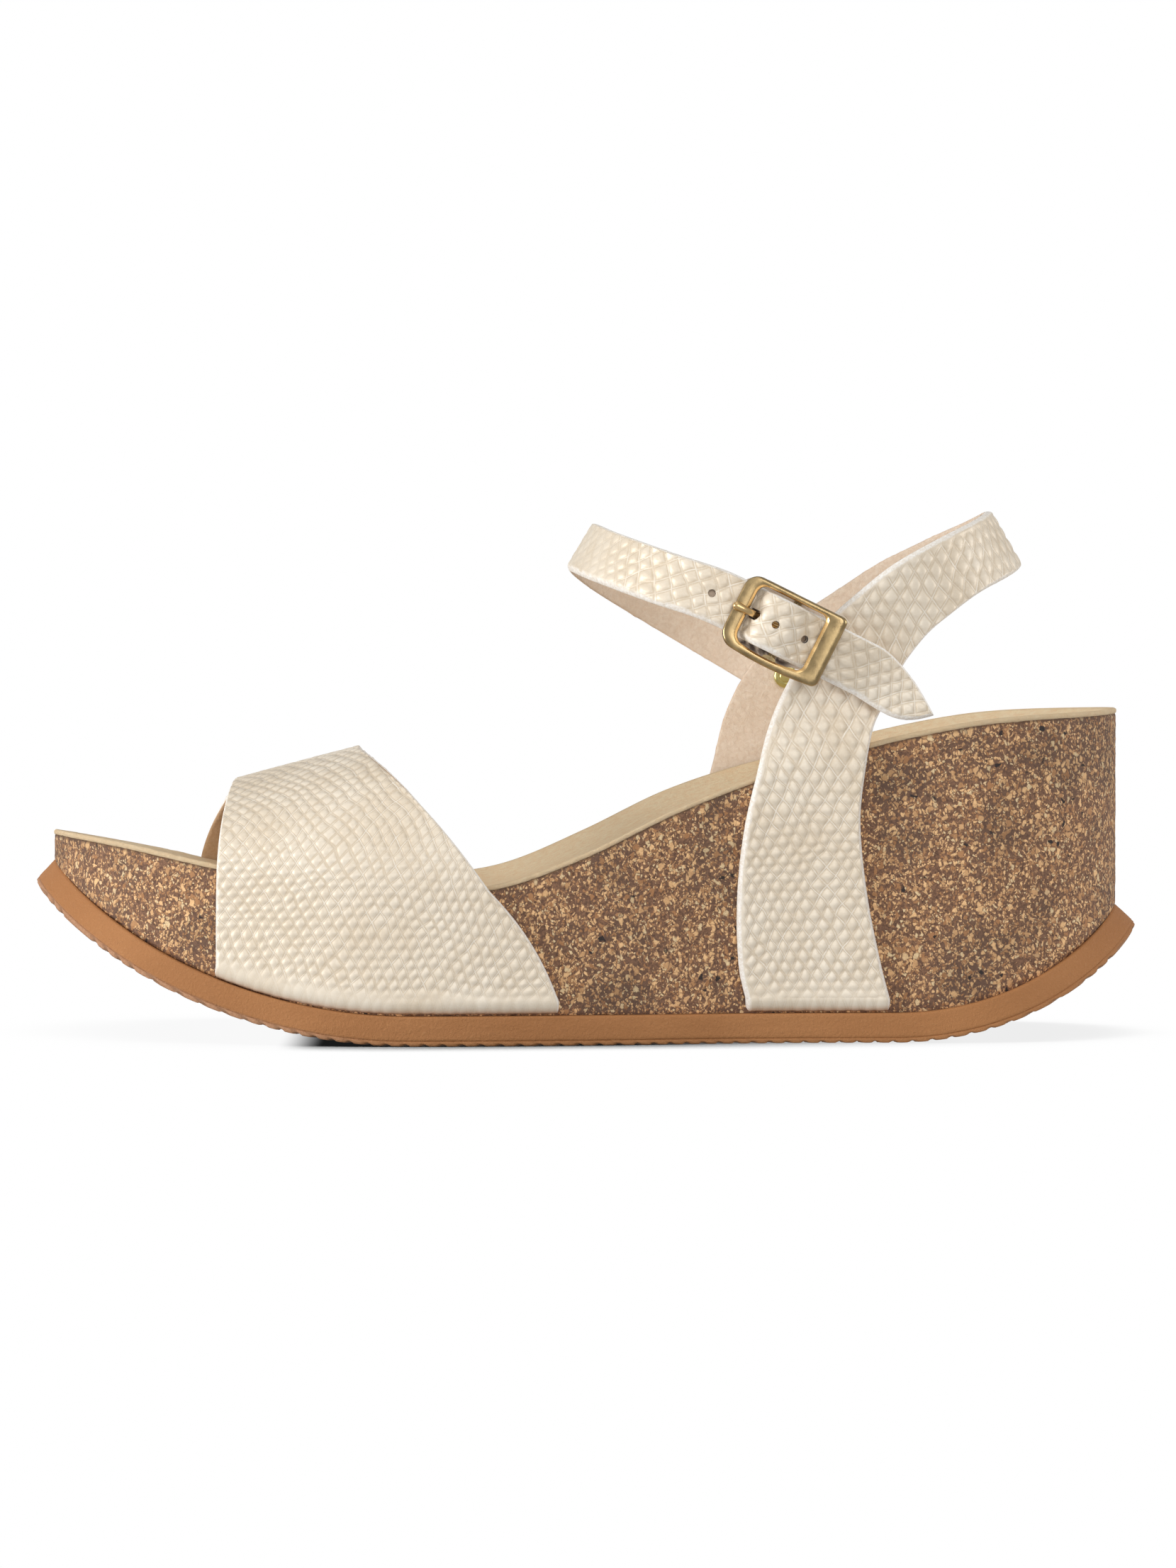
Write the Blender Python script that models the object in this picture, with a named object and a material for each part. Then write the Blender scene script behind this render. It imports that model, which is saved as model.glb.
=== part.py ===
"""Left wedge sandal, built as its separate pieces.

Units inside this script are millimetres; meshes are written in metres.
+Z is up and Z = 0 is the ground. The toe points to -X and the heel to +X.
The lateral (buckle) side is at -Y and the medial (arch) side at +Y.
"""

import math

import bmesh
import bpy
import numpy as np

MM = 0.001
GAP = 0.3

# Sole: ends, outline and bent outsole sheet
TOE_X, HEEL_X = -125.4, 125.3
TOE_ROUND, HEEL_ROUND = 44.0, 36.0
OUTSOLE_THICK = 6.8
OUTSOLE_FLANGE = 2.3
TOE_BEND_X, TOE_BEND_RADIUS = -40.0, 125.0
HEEL_BEND_X, HEEL_BEND_RADIUS = 72.0, 72.4
COVER_THICK = 1.0
END_SQUARENESS = 2.1  # 2 would make the toe and heel half ellipses
BED_SQUARENESS = 2.5
ARCH_X, ARCH_REACH, ARCH_RISE = 12.0, 50.0, 2.8
TOE_LEAN, TOE_LEAN_Y = 0.048, -40.0
TOE_LEAN_FULL_X, TOE_LEAN_END_X = -92.0, -58.0

# Leather and lining, measured outwards from the inner face of a strap
LINING = (0.0, 0.6)
LEATHER = (0.85, 2.1)
STRAP_STACK = LEATHER[1]
WALL_GAP = 0.45
MARGIN = 8.0
MARGIN_BEND = 0.65
REBATE_LEAD, REBATE_SPARE = 1.6, 0.15
REBATE_BELOW, REBATE_BESIDE = 2.0, 6.0

# Vamp
VAMP_CROWN_Y = 3.0
VAMP_CROWN_X, VAMP_CROWN_Z, VAMP_CROWN_SLOPE = -52.1, 67.8, 0.264
VAMP_FULLNESS = 0.85
VAMP_WALL_SHARE = 0.47
VAMP_REAR_FOOT_X = -5.8
VAMP_MEDIAL_LEAD = 6.75

# Heel strap: the loop behind the ankle is a half ellipse in plan
LOOP_X, LOOP_HALF_WIDTH = 60.0, 33.5
LOOP_REACH_TOP, LOOP_REACH_BOTTOM = 33.8, 41.6
LEG_BLEND_HEIGHT = 12.0

# Ankle strap and buckle; "along" runs down the strap towards its tip
STRAP_HALF_WIDTH = 6.35
STRAP_SLOPE = math.radians(26.5)
BAR_CENTRE = (46.1, 95.3)
BAR_HEIGHT, BAR_RADIUS = 5.5, 0.95
LATERAL_RIVET_ALONG = 11.5
MEDIAL_RIVET = (48.6, 83.4)
MEDIAL_SLOPE = math.radians(31.0)
TAIL_TIP = 39.4
HOLES_ALONG = (-18.7, -11.2, -2.6, 4.4)
HOLE_RADIUS = 1.0
STRAP_FLAT_OUT = 4.05
SLOT_ALONG, SLOT_HALF_LENGTH, SLOT_HALF_WIDTH = -6.4, 1.1, 1.15
SLOT_AHEAD, SLOT_BEHIND = 0.95, 0.75
TAPER_START, TIP_START = 21.0, 29.0
MEDIAL_END, MEDIAL_ROUNDING = 6.0, 5.0

FRAME_LENGTH, FRAME_WIDTH, FRAME_THICK = 25.2, 17.0, 2.2
WINDOW_LEFT, WINDOW_RIGHT, WINDOW_WIDTH = -9.2, 8.0, 13.9
FRAME_LIFT, FRAME_TILT = 2.75, math.radians(7.4)
PRONG_RADIUS, PRONG_EYE_RADIUS = 0.8, 1.65
RIVET_POST_RADIUS, RIVET_HEAD_RADIUS = 1.5, 2.9
RIVET_HEAD_THICK, CAP_RISE = 0.9, 0.7
RIVET_CLEARANCE = 0.4

ALONG = np.array((math.cos(STRAP_SLOPE), 0.0, -math.sin(STRAP_SLOPE)))
ACROSS = np.array((math.sin(STRAP_SLOPE), 0.0, math.cos(STRAP_SLOPE)))
OUTWARD = np.array((0.0, -1.0, 0.0))
BAR_ORIGIN = np.array((BAR_CENTRE[0], -LOOP_HALF_WIDTH, BAR_CENTRE[1]))
BAR_AXIS_POINT = BAR_ORIGIN + BAR_HEIGHT * OUTWARD
LATERAL_RIVET = BAR_ORIGIN + LATERAL_RIVET_ALONG * ALONG


# ---------------------------------------------------------------- helpers


def clear_scene():
    for obj in list(bpy.data.objects):
        bpy.data.objects.remove(obj, do_unlink=True)


def material(name, colour, roughness, metallic=0.0):
    made = bpy.data.materials.new(name)
    made.use_nodes = True
    shader = made.node_tree.nodes["Principled BSDF"]
    shader.inputs["Base Color"].default_value = (*colour, 1.0)
    shader.inputs["Roughness"].default_value = roughness
    shader.inputs["Metallic"].default_value = metallic
    return made


def curve_through(knots, values):
    """A smooth function that passes through the values at the knots."""
    knots = np.asarray(knots, float)
    values = np.asarray(values, float)
    slopes = np.gradient(values, knots, axis=0)

    def at(t):
        t = min(max(t, knots[0]), knots[-1])
        i = min(int(np.searchsorted(knots, t, side="right")) - 1, len(knots) - 2)
        span = knots[i + 1] - knots[i]
        u = (t - knots[i]) / span
        start = (2 * u**3 - 3 * u**2 + 1) * values[i]
        end = (3 * u**2 - 2 * u**3) * values[i + 1]
        bend = (u**3 - 2 * u**2 + u) * slopes[i] + (u**3 - u**2) * slopes[i + 1]
        return start + end + span * bend

    return at


def smoothstep(value, low, high):
    u = min(max((value - low) / (high - low), 0.0), 1.0)
    return u * u * (3 - 2 * u)


def mix(a, b, share):
    return a + (b - a) * share


def add_empty(name, place):
    empty = bpy.data.objects.new(name, None)
    empty.location = [MM * value for value in place]
    empty.empty_display_size = 0.01
    bpy.context.collection.objects.link(empty)
    return empty


def add_mesh(name, points, faces, look, parent=None):
    """Makes one closed object from points in millimetres, welded and facing out."""
    origin = np.array(parent.location) if parent else np.zeros(3)
    shape = bmesh.new()
    corners = [shape.verts.new(MM * np.asarray(point) - origin) for point in points]
    for face in faces:
        shape.faces.new([corners[index] for index in face])
    bmesh.ops.remove_doubles(shape, verts=shape.verts, dist=1e-6)
    bmesh.ops.dissolve_degenerate(shape, dist=1e-7, edges=shape.edges)
    bmesh.ops.recalc_face_normals(shape, faces=shape.faces)
    mesh = bpy.data.meshes.new(name)
    shape.to_mesh(mesh)
    shape.free()
    mesh.shade_smooth()
    mesh.set_sharp_from_angle(angle=math.radians(40))
    obj = bpy.data.objects.new(name, mesh)
    obj.parent = parent
    if look:
        mesh.materials.append(look)
    bpy.context.collection.objects.link(obj)
    return obj


def add_slab(name, top, bottom, look, parent=None):
    """A closed solid between two grids of points of the same size."""
    top = np.asarray(top)
    bottom = np.asarray(bottom)
    rows, columns = top.shape[:2]
    count = rows * columns
    faces = []

    def index(i, j, side):
        return side * count + i * columns + j

    for i in range(rows - 1):
        for j in range(columns - 1):
            for side in (0, 1):
                corners = ((i, j), (i + 1, j), (i + 1, j + 1), (i, j + 1))
                faces.append([index(a, b, side) for a, b in corners])
    for i in range(rows - 1):
        for j in (0, columns - 1):
            faces.append([index(i, j, 0), index(i + 1, j, 0), index(i + 1, j, 1), index(i, j, 1)])
    for j in range(columns - 1):
        for i in (0, rows - 1):
            faces.append([index(i, j, 0), index(i, j + 1, 0), index(i, j + 1, 1), index(i, j, 1)])
    points = np.concatenate([top.reshape(-1, 3), bottom.reshape(-1, 3)])
    return add_mesh(name, points, faces, look, parent)


def surface_normals(grid):
    """Unit normals of a grid of points, from its columns' direction to its rows'."""
    along_rows = np.gradient(grid, axis=0)
    along_columns = np.gradient(grid, axis=1)
    normals = np.cross(along_columns, along_rows)
    return normals / np.linalg.norm(normals, axis=2, keepdims=True)


def add_layer(name, grid, layer, look, parent=None):
    """A sheet of leather or lining between two distances from a surface."""
    normals = surface_normals(grid)
    return add_slab(name, grid + layer[1] * normals, grid + layer[0] * normals, look, parent)


def turned(axis_point, axis, profile, steps):
    """Points and faces of a closed profile of (distance, radius) turned round an axis."""
    axis = np.asarray(axis, float) / np.linalg.norm(axis)
    side = np.cross(axis, (0.3, 0.1, 1.0))
    side /= np.linalg.norm(side)
    other = np.cross(axis, side)
    points = []
    faces = []
    for i in range(steps):
        angle = 2 * math.pi * i / steps
        spoke = math.cos(angle) * side + math.sin(angle) * other
        for distance, radius in profile:
            points.append(axis_point + distance * axis + radius * spoke)
    size = len(profile)
    for i in range(steps):
        for j in range(size - 1):
            here = i * size + j
            there = ((i + 1) % steps) * size + j
            faces.append([here, here + 1, there + 1, there])
    return points, faces


def cut(target, points, faces, name):
    cutter = add_mesh(name, points, faces, None)
    cutter.hide_render = True
    cutter.display_type = "WIRE"
    boolean = target.modifiers.new(name, "BOOLEAN")
    boolean.operation = "DIFFERENCE"
    boolean.solver = "EXACT"
    boolean.object = cutter


def drill(targets, centre, axis, radius, reach, name):
    """Cuts one round hole through each target."""
    profile = [(-reach, 0.0), (-reach, radius), (reach, radius), (reach, 0.0)]
    points, faces = turned(np.asarray(centre, float), axis, profile, 16)
    for number, target in enumerate(targets):
        cut(target, points, faces, f"{name}_{number}")


# ---------------------------------------------------------------- sole

outline_centre = curve_through(
    (-125.4, -90, -50, 0, 40, 85, 125.3), (8.0, 3.6, -0.5, -3.5, -2.0, 0.0, 1.0)
)
outline_half = curve_through(
    (-125.4, -90, -50, 0, 40, 85, 125.3), (40.0, 41.0, 44.5, 38.5, 33.2, 33.0, 33.0)
)
rim_height = curve_through(
    (-125.4, -105, -84, -62, -40, -20, 0, 20, 40, 66, 90, 125.3),
    (48.6, 44.8, 40.1, 36.6, 34.6, 35.8, 42.7, 52.3, 60.2, 68.0, 72.9, 75.3),
)
bed_depth = curve_through(
    (-125.4, -100, -60, -20, 20, 60, 90, 110, 125.3), (0, 1.6, 2.6, 3.0, 3.4, 4.6, 5.6, 3.6, 0)
)


def end_rounding(x):
    """1 along the sole, falling to 0 at the tips so that the outline closes round."""
    share = 1.0
    for distance, reach in ((x - TOE_X, TOE_ROUND), (HEEL_X - x, HEEL_ROUND)):
        short = 1 - min(max(distance, 0.0) / reach, 1.0)
        share *= math.sqrt(max(1 - short**END_SQUARENESS, 0.0))
    return share


def side_y(x, side, grow=0.0):
    """The outline on the lateral (-1) or medial (+1) side, grown outwards."""
    return outline_centre(x) + side * ((outline_half(x) + grow) * end_rounding(x))


def beside_outline(x, side, out):
    """The line that runs beside the outline, a given distance outside it."""
    slope = side_y(x + 0.5, side) - side_y(x - 0.5, side)
    return side_y(x, side) + side * out * math.sqrt(1 + slope**2)


def sole_top(x):
    """Height of the outsole's upper face: flat, bent up at the toe and at the heel."""
    if x < TOE_BEND_X:
        rise = TOE_BEND_RADIUS - math.sqrt(TOE_BEND_RADIUS**2 - (x - TOE_BEND_X) ** 2)
    elif x > HEEL_BEND_X:
        rise = HEEL_BEND_RADIUS - math.sqrt(HEEL_BEND_RADIUS**2 - (x - HEEL_BEND_X) ** 2)
    else:
        rise = 0.0
    return OUTSOLE_THICK + rise


def sole_down(x):
    """Direction square to the outsole, pointing out of its tread."""
    bend_x, radius = (TOE_BEND_X, TOE_BEND_RADIUS) if x < 0 else (HEEL_BEND_X, HEEL_BEND_RADIUS)
    if TOE_BEND_X <= x <= HEEL_BEND_X:
        return np.array((0.0, 0.0, -1.0))
    lean = (x - bend_x) / radius
    return np.array((lean, 0.0, -math.sqrt(1 - lean**2)))


def toe_drop(x, y):
    """The toe of the bed leans down towards the medial side."""
    return TOE_LEAN * (y - TOE_LEAN_Y) * (1 - smoothstep(x, TOE_LEAN_FULL_X, TOE_LEAN_END_X))


def rim_z(x, side):
    """Height of the cork's rim; the medial rim rises at the arch."""
    reach = min(abs((x - ARCH_X) / ARCH_REACH), 1.0)
    arch = ARCH_RISE * (1 - reach**2) ** 2 if side > 0 else 0.0
    return rim_height(x) + arch - toe_drop(x, side_y(x, side))


def bed_z(x, v):
    """Height of the cork's upper face at v from -1 (lateral) to +1 (medial)."""
    rim = mix(rim_z(x, -1), rim_z(x, 1), (v + 1) / 2)
    return rim - bed_depth(x) * (1 - abs(v) ** BED_SQUARENESS)


def sole_stations(count):
    shares = (1 - np.cos(np.linspace(0, math.pi, count))) / 2
    return TOE_X + shares * (HEEL_X - TOE_X)


def sole_grid(height, grow=0.0, stations=33, across=9):
    grid = np.zeros((stations, across, 3))
    for i, x in enumerate(sole_stations(stations)):
        for j, v in enumerate(np.linspace(-1, 1, across)):
            y = mix(side_y(x, -1, grow), side_y(x, 1, grow), (v + 1) / 2)
            grid[i, j] = (x, y, height(x, v))
    return grid


def build_outsole(look):
    top = sole_grid(lambda x, v: sole_top(x), OUTSOLE_FLANGE, across=3)
    down = np.array([sole_down(x) for x in top[:, 0, 0]])
    return add_slab("outsole", top, top + OUTSOLE_THICK * down[:, None, :], look)


def margin_rebate(side, front_x, rear_x):
    """The room under the cork's edge that holds a strap's turned-in margin."""
    depth = MARGIN + MARGIN_BEND + 2 * GAP
    ceiling = 2 * GAP + LEATHER[1] - LEATHER[0] + REBATE_SPARE
    corners = (
        (-depth, -REBATE_BELOW),
        (REBATE_BESIDE, -REBATE_BELOW),
        (REBATE_BESIDE, ceiling),
        (-depth, ceiling),
    )
    rows = []
    for x in np.linspace(front_x - REBATE_LEAD, rear_x + GAP, 11):
        edge = side_y(x, side)
        rows.append([(x, edge + side * out, sole_top(x) + up) for out, up in corners])
    points = np.array(rows).reshape(-1, 3)
    faces = [[0, 1, 2, 3], [len(points) - 4 + k for k in (3, 2, 1, 0)]]
    for i in range(len(rows) - 1):
        for k in range(4):
            here = 4 * i + k
            there = 4 * i + (k + 1) % 4
            faces.append([here, there, there + 4, here + 4])
    return points, faces


def build_cork(look):
    top = sole_grid(bed_z)
    bottom = sole_grid(lambda x, v: sole_top(x) + GAP)
    cork = add_slab("cork_wedge", top, bottom, look)
    ranges = {
        "vamp_lateral": (-1, vamp_front(0, -1), vamp_rear(0, -1)),
        "vamp_medial": (1, vamp_front(0, 1), vamp_rear(0, 1)),
        "heel_lateral": (-1, leg_edges(0, -1)[0][0], leg_edges(0, -1)[1][0]),
        "heel_medial": (1, leg_edges(0, 1)[0][0], leg_edges(0, 1)[1][0]),
    }
    for name, (side, front_x, rear_x) in ranges.items():
        points, faces = margin_rebate(side, front_x, rear_x)
        cut(cork, points, faces, f"rebate_{name}")
    return cork


def build_cover(look):
    low = sole_grid(lambda x, v: bed_z(x, v) + GAP)
    high = sole_grid(lambda x, v: bed_z(x, v) + GAP + COVER_THICK)
    return add_slab("footbed_cover", high, low, look)


# ---------------------------------------------------------------- strap feet


def foot_profile(wall_steps):
    """Steps of a strap's foot: (in-turned length, bend angle, share of the wall)."""
    steps = [(MARGIN, 0.0, 0.0), (MARGIN / 2, 0.0, 0.0)]
    steps += [(0.0, angle, 0.0) for angle in np.linspace(0, math.pi / 2, 4)]
    steps += [(0.0, math.pi / 2, share) for share in np.linspace(0, 1, wall_steps + 1)[1:]]
    return steps


def foot_point(x, side, inward, angle, wall_z, share):
    """A point on a strap's inner face: margin under the cork, bend, then its wall."""
    base = sole_top(x) + GAP + STRAP_STACK
    centre_z = base + MARGIN_BEND
    out = WALL_GAP - MARGIN_BEND + MARGIN_BEND * math.sin(angle) - inward
    z = centre_z - MARGIN_BEND * math.cos(angle)
    return (x, beside_outline(x, side, out), mix(z, wall_z, share))


# ---------------------------------------------------------------- vamp


def vamp_front(rise, side):
    if side < 0:
        return -84.5 + 2.1 * rise**3
    return -94.5 + 1.5 * rise + 10.6 * rise**4


def vamp_rear(rise, side):
    """The rear edge leans forward as it climbs, sooner on the medial side."""
    lean = VAMP_REAR_FOOT_X - 22.7 * rise - 23.6 * rise**2
    if side < 0:
        return lean
    return lean - VAMP_MEDIAL_LEAD * math.sqrt(max(1 - rise**2, 0.0))


def vamp_row(side, columns):
    """One half of the vamp's inner face, from its margin up to the crown."""
    rows = []
    foot = foot_profile(4)
    arch = np.linspace(0, math.pi / 2, 10)[1:]
    for inward, angle, share in foot:
        row = []
        for v in np.linspace(0, 1, columns):
            rise = VAMP_WALL_SHARE * share
            x = mix(vamp_front(rise, side), vamp_rear(rise, side), v)
            row.append(foot_point(x, side, inward, angle, rim_z(x, side), share))
        rows.append(row)
    for angle in arch:
        lift = math.sin(angle) ** VAMP_FULLNESS
        rise = VAMP_WALL_SHARE + (1 - VAMP_WALL_SHARE) * lift
        row = []
        for v in np.linspace(0, 1, columns):
            x = mix(vamp_front(rise, side), vamp_rear(rise, side), v)
            crown = VAMP_CROWN_Z + VAMP_CROWN_SLOPE * (x - VAMP_CROWN_X) - STRAP_STACK
            wall = beside_outline(x, side, WALL_GAP)
            spread = max(math.cos(angle), 0.0) ** VAMP_FULLNESS
            y = VAMP_CROWN_Y + (wall - VAMP_CROWN_Y) * spread
            row.append((x, y, mix(rim_z(x, side), crown, lift)))
        rows.append(row)
    return rows


def vamp_grid(columns=9):
    lateral = vamp_row(-1, columns)
    medial = vamp_row(1, columns)
    return np.array(lateral + medial[-2::-1])


def build_vamp(leather, felt):
    grid = vamp_grid()
    foot_rows = len(foot_profile(4)) - 3
    add_layer("vamp_leather", grid, LEATHER, leather)
    add_layer("vamp_lining", grid[foot_rows:-foot_rows], LINING, felt)


# ---------------------------------------------------------------- heel strap

LEG_STATIONS = (0, 0.10, 0.22, 0.34, 0.42, 0.50, 0.57, 0.64, 0.72, 0.82, 0.91, 1.0)
FRONT_X = (37.2, 35.5, 35.2, 37.3, 40.0, 43.3, 47.7, 54.0, 63.0, 74.5, 87.5)
FRONT_Z = (9.85, 18.0, 34.7, 52.1, 63.0, 75.1, 84.5, 95.0, 103.8, 112.3, 118.9, 122.3)
REAR_X = (70.6, 68.5, 65.2, 63.7, 64.7, 66.6, 68.8, 70.6, 75.2, 83.0, 94.0)
REAR_Z = (9.85, 18.0, 34.6, 52.1, 62.0, 72.5, 77.5, 82.0, 89.6, 97.6, 105.0, 108.9)
MEDIAL_SHIFT = (-9, -9, -9, -9, -9, -9, -8.5, -6, -2.6, -0.6, 0)


def loop_angle(x, reach):
    """Where x lies on the plan of the loop: negative on its straight side."""
    share = (x - LOOP_X) / reach
    return math.asin(min(share, 1.0)) if share > 0 else share


def leg_curves(side):
    shift = MEDIAL_SHIFT if side > 0 else (0,) * len(FRONT_X)
    made = []
    for xs, zs, reach in (
        (FRONT_X, FRONT_Z, LOOP_REACH_TOP),
        (REAR_X, REAR_Z, LOOP_REACH_BOTTOM),
    ):
        angles = [loop_angle(x + move, reach) for x, move in zip(xs, shift)]
        angles += [math.pi / 2, math.pi - angles[-1]]
        heights = zs + (zs[-2],)
        stations = LEG_STATIONS + (2 * LEG_STATIONS[-1] - LEG_STATIONS[-2],)
        made.append(curve_through(stations, np.array([angles, heights]).T))
    return made


LEG_CURVES = {side: leg_curves(side) for side in (-1, 1)}


def loop_x(angle, reach):
    return LOOP_X + reach * (math.sin(angle) if angle > 0 else angle)


def leg_edges(station, side):
    """(x, z) of the strap's front and rear edges at one station."""
    front, rear = (curve(station) for curve in LEG_CURVES[side])
    return (
        (loop_x(front[0], LOOP_REACH_TOP), front[1]),
        (loop_x(rear[0], LOOP_REACH_BOTTOM), rear[1]),
    )


def heel_strap_point(station, side, share):
    front, rear = (curve(station) for curve in LEG_CURVES[side])
    angle, z = mix(front, rear, share)
    x = loop_x(angle, mix(LOOP_REACH_TOP, LOOP_REACH_BOTTOM, share))
    free_y = side * LOOP_HALF_WIDTH * (math.cos(angle) if angle > 0 else 1.0)
    wall_y = beside_outline(x, side, WALL_GAP)
    rim = rim_z(x, side)
    return (x, mix(wall_y, free_y, smoothstep(z, rim, rim + LEG_BLEND_HEIGHT)), z)


def heel_strap_half(side, columns):
    rows = []
    for inward, angle, _ in foot_profile(1)[:-1]:
        front, rear = leg_edges(0, side)
        xs = np.linspace(front[0], rear[0], columns)
        rows.append([foot_point(x, side, inward, angle, 0.0, 0.0) for x in xs])
    for station in np.linspace(0, 1, 27)[1:]:
        rows.append([heel_strap_point(station, side, w) for w in np.linspace(0, 1, columns)])
    return rows


def heel_strap_grid(columns=6):
    lateral = heel_strap_half(-1, columns)
    medial = heel_strap_half(1, columns)
    return np.array(lateral + medial[-2::-1])


def build_heel_strap(leather, felt):
    grid = heel_strap_grid()
    foot_rows = len(foot_profile(1)) - 1
    return [
        add_layer("heel_strap_leather", grid, LEATHER, leather),
        add_layer("heel_strap_lining", grid[foot_rows:-foot_rows], LINING, felt),
    ]


# ---------------------------------------------------------------- ankle strap


def at_buckle(along, across, out):
    """A point given along, across and out from the strap at the buckle's bar."""
    return BAR_ORIGIN + along * ALONG + across * ACROSS + out * OUTWARD


STRAP_RISE = (
    (-15.0, 4.05), (-11.5, 4.1), (-9.6, 4.2), (-8.0, 4.7), (-6.8, 6.3), (-5.6, 8.2), (-4.2, 9.35),
    (-2.0, 9.6), (0.0, 9.4), (4.0, 8.0), (8.0, 6.75), (11.5, 6.65), (16.0, 6.3), (23.0, 4.6),
    (31.0, 4.0), (TAIL_TIP, 4.0),
)


FIRST_BUCKLE_POINT = 8  # the strap's path up to here goes round the ankle


def strap_path():
    """The inner face's middle line, from the medial end round the ankle to the tip."""
    back = np.array((-math.cos(MEDIAL_SLOPE), 0.0, math.sin(MEDIAL_SLOPE)))
    medial = np.array((MEDIAL_RIVET[0], LOOP_HALF_WIDTH + STRAP_STACK + GAP, MEDIAL_RIVET[1]))
    points = [medial - MEDIAL_END * back, medial, medial + 12.0 * back + (0, 0.9, 0)]
    points += [np.array(p) for p in ((20.5, 33.0, 100.2), (6.2, 20.0, 109.0), (0.5, 0.0, 113.7))]
    points += [np.array(p) for p in ((5.6, -20.0, 111.6), (18.3, -33.0, 107.0))]
    points += [at_buckle(along, 0.0, out) for along, out in STRAP_RISE]
    points = np.array(points)
    lengths = np.concatenate([[0], np.cumsum(np.linalg.norm(np.diff(points, axis=0), axis=1))])
    return curve_through(lengths, points), lengths


def tail_edges(along):
    """Half widths above and below the middle line; the tip is a rounded point."""
    taper = max(along - TAPER_START, 0.0) / (TAIL_TIP - TAPER_START)
    upper = STRAP_HALF_WIDTH - 8.6 * taper**1.6
    sag = 0.7 * math.sin(math.pi * min(taper, 1.0))
    late = max(along - TIP_START, 0.0) / (TAIL_TIP - TIP_START)
    lower = -STRAP_HALF_WIDTH - sag + 4.0 * late**2.4
    return upper, max(min(lower, upper - 0.2), -8.0)


def strap_samples(path, lengths):
    """Distances along the strap: close together at the buckle, wider elsewhere."""
    near_start = lengths[FIRST_BUCKLE_POINT]
    samples = list(np.linspace(0, near_start, 34)[:-1])
    samples += list(np.linspace(near_start, lengths[-1], 44))
    return samples


def ankle_strap_grid(columns=5):
    path, lengths = strap_path()
    near_start = lengths[FIRST_BUCKLE_POINT]
    rows = []
    for distance in strap_samples(path, lengths):
        centre = path(distance)
        turn = smoothstep(distance, near_start - 40, near_start)
        slope = mix(MEDIAL_SLOPE, STRAP_SLOPE, turn)
        width = np.array((math.sin(slope), 0.0, math.cos(slope)))
        along = float(np.dot(centre - BAR_ORIGIN, ALONG))
        upper, lower = STRAP_HALF_WIDTH, -STRAP_HALF_WIDTH
        if distance > near_start:
            upper, lower = tail_edges(along)
        end = min(distance / MEDIAL_ROUNDING, 1.0)
        inset = 1 - 0.45 * (1 - math.sqrt(end * (2 - end)))
        rows.append([centre + w * width for w in np.linspace(upper * inset, lower * inset, columns)])
    return np.array(rows)


def strap_normal_at(along):
    """Direction out of the strap's face, in the plane across the buckle's bar."""
    rises = np.array(STRAP_RISE)
    profile = curve_through(rises[:, 0], rises[:, 1])
    slope = (profile(along + 0.2) - profile(along - 0.2)) / 0.4
    out = OUTWARD - slope * ALONG
    return profile(along), out / np.linalg.norm(out)


def punch_prong_slot(targets):
    """The hole in use, drawn long by the prong that stands through it."""
    height, normal = strap_normal_at(SLOT_ALONG)
    centre = at_buckle(SLOT_ALONG, 0.0, height)
    tangent = np.cross(normal, ACROSS)
    tangent *= np.sign(np.dot(tangent, ALONG))
    points = []
    for out in (-1.5, 4.5):
        for angle in np.linspace(0, 2 * math.pi, 17)[:-1]:
            shift = SLOT_AHEAD if math.cos(angle) > 0 else -SLOT_BEHIND
            lengthways = (shift + SLOT_HALF_LENGTH * math.cos(angle)) * tangent
            sideways = SLOT_HALF_WIDTH * math.sin(angle) * ACROSS
            points.append(centre + lengthways + sideways + out * normal)
    faces = [list(range(16)), list(range(31, 15, -1))]
    faces += [[i, (i + 1) % 16, 16 + (i + 1) % 16, 16 + i] for i in range(16)]
    for number, target in enumerate(targets):
        cut(target, points, faces, f"prong_slot_{number}")


def build_ankle_strap(leather, felt, parent):
    grid = ankle_strap_grid()
    pieces = [
        add_layer("ankle_strap_leather", grid, LEATHER, leather, parent),
        add_layer("ankle_strap_lining", grid, LINING, felt, parent),
    ]
    for number, along in enumerate(HOLES_ALONG):
        beyond_rise = along < STRAP_RISE[0][0]
        height, normal = (STRAP_FLAT_OUT, OUTWARD) if beyond_rise else strap_normal_at(along)
        drill(pieces, at_buckle(along, 0.0, height), normal, HOLE_RADIUS, 5.0, f"hole_{number}")
    punch_prong_slot(pieces)
    medial = (MEDIAL_RIVET[0], LOOP_HALF_WIDTH + STRAP_STACK, MEDIAL_RIVET[1])
    drill(pieces, medial, (0, 1, 0), RIVET_POST_RADIUS + 0.6, 6.0, "medial_rivet_hole")
    return pieces


# ---------------------------------------------------------------- buckle


TAB_THICK, TAB_HALF_WIDTH, TAB_END = 0.9, 5.6, 15.5
TAB_LOOP_RADIUS = BAR_RADIUS + 0.2
TAB_SLIT_ENDS, TAB_SLIT_HALF_WIDTH = (-4.0, 3.2), 1.5
TAB_LEG_GAP = 0.3
GUARD_LEVEL, GUARD_THICK = 2.65, 0.75
GUARD_START, GUARD_ROUNDING = -13.8, 6.0
GUARD_END_HALF, GUARD_FULL_HALF, GUARD_NECK_HALF = 4.2, 8.6, 6.0


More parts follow.
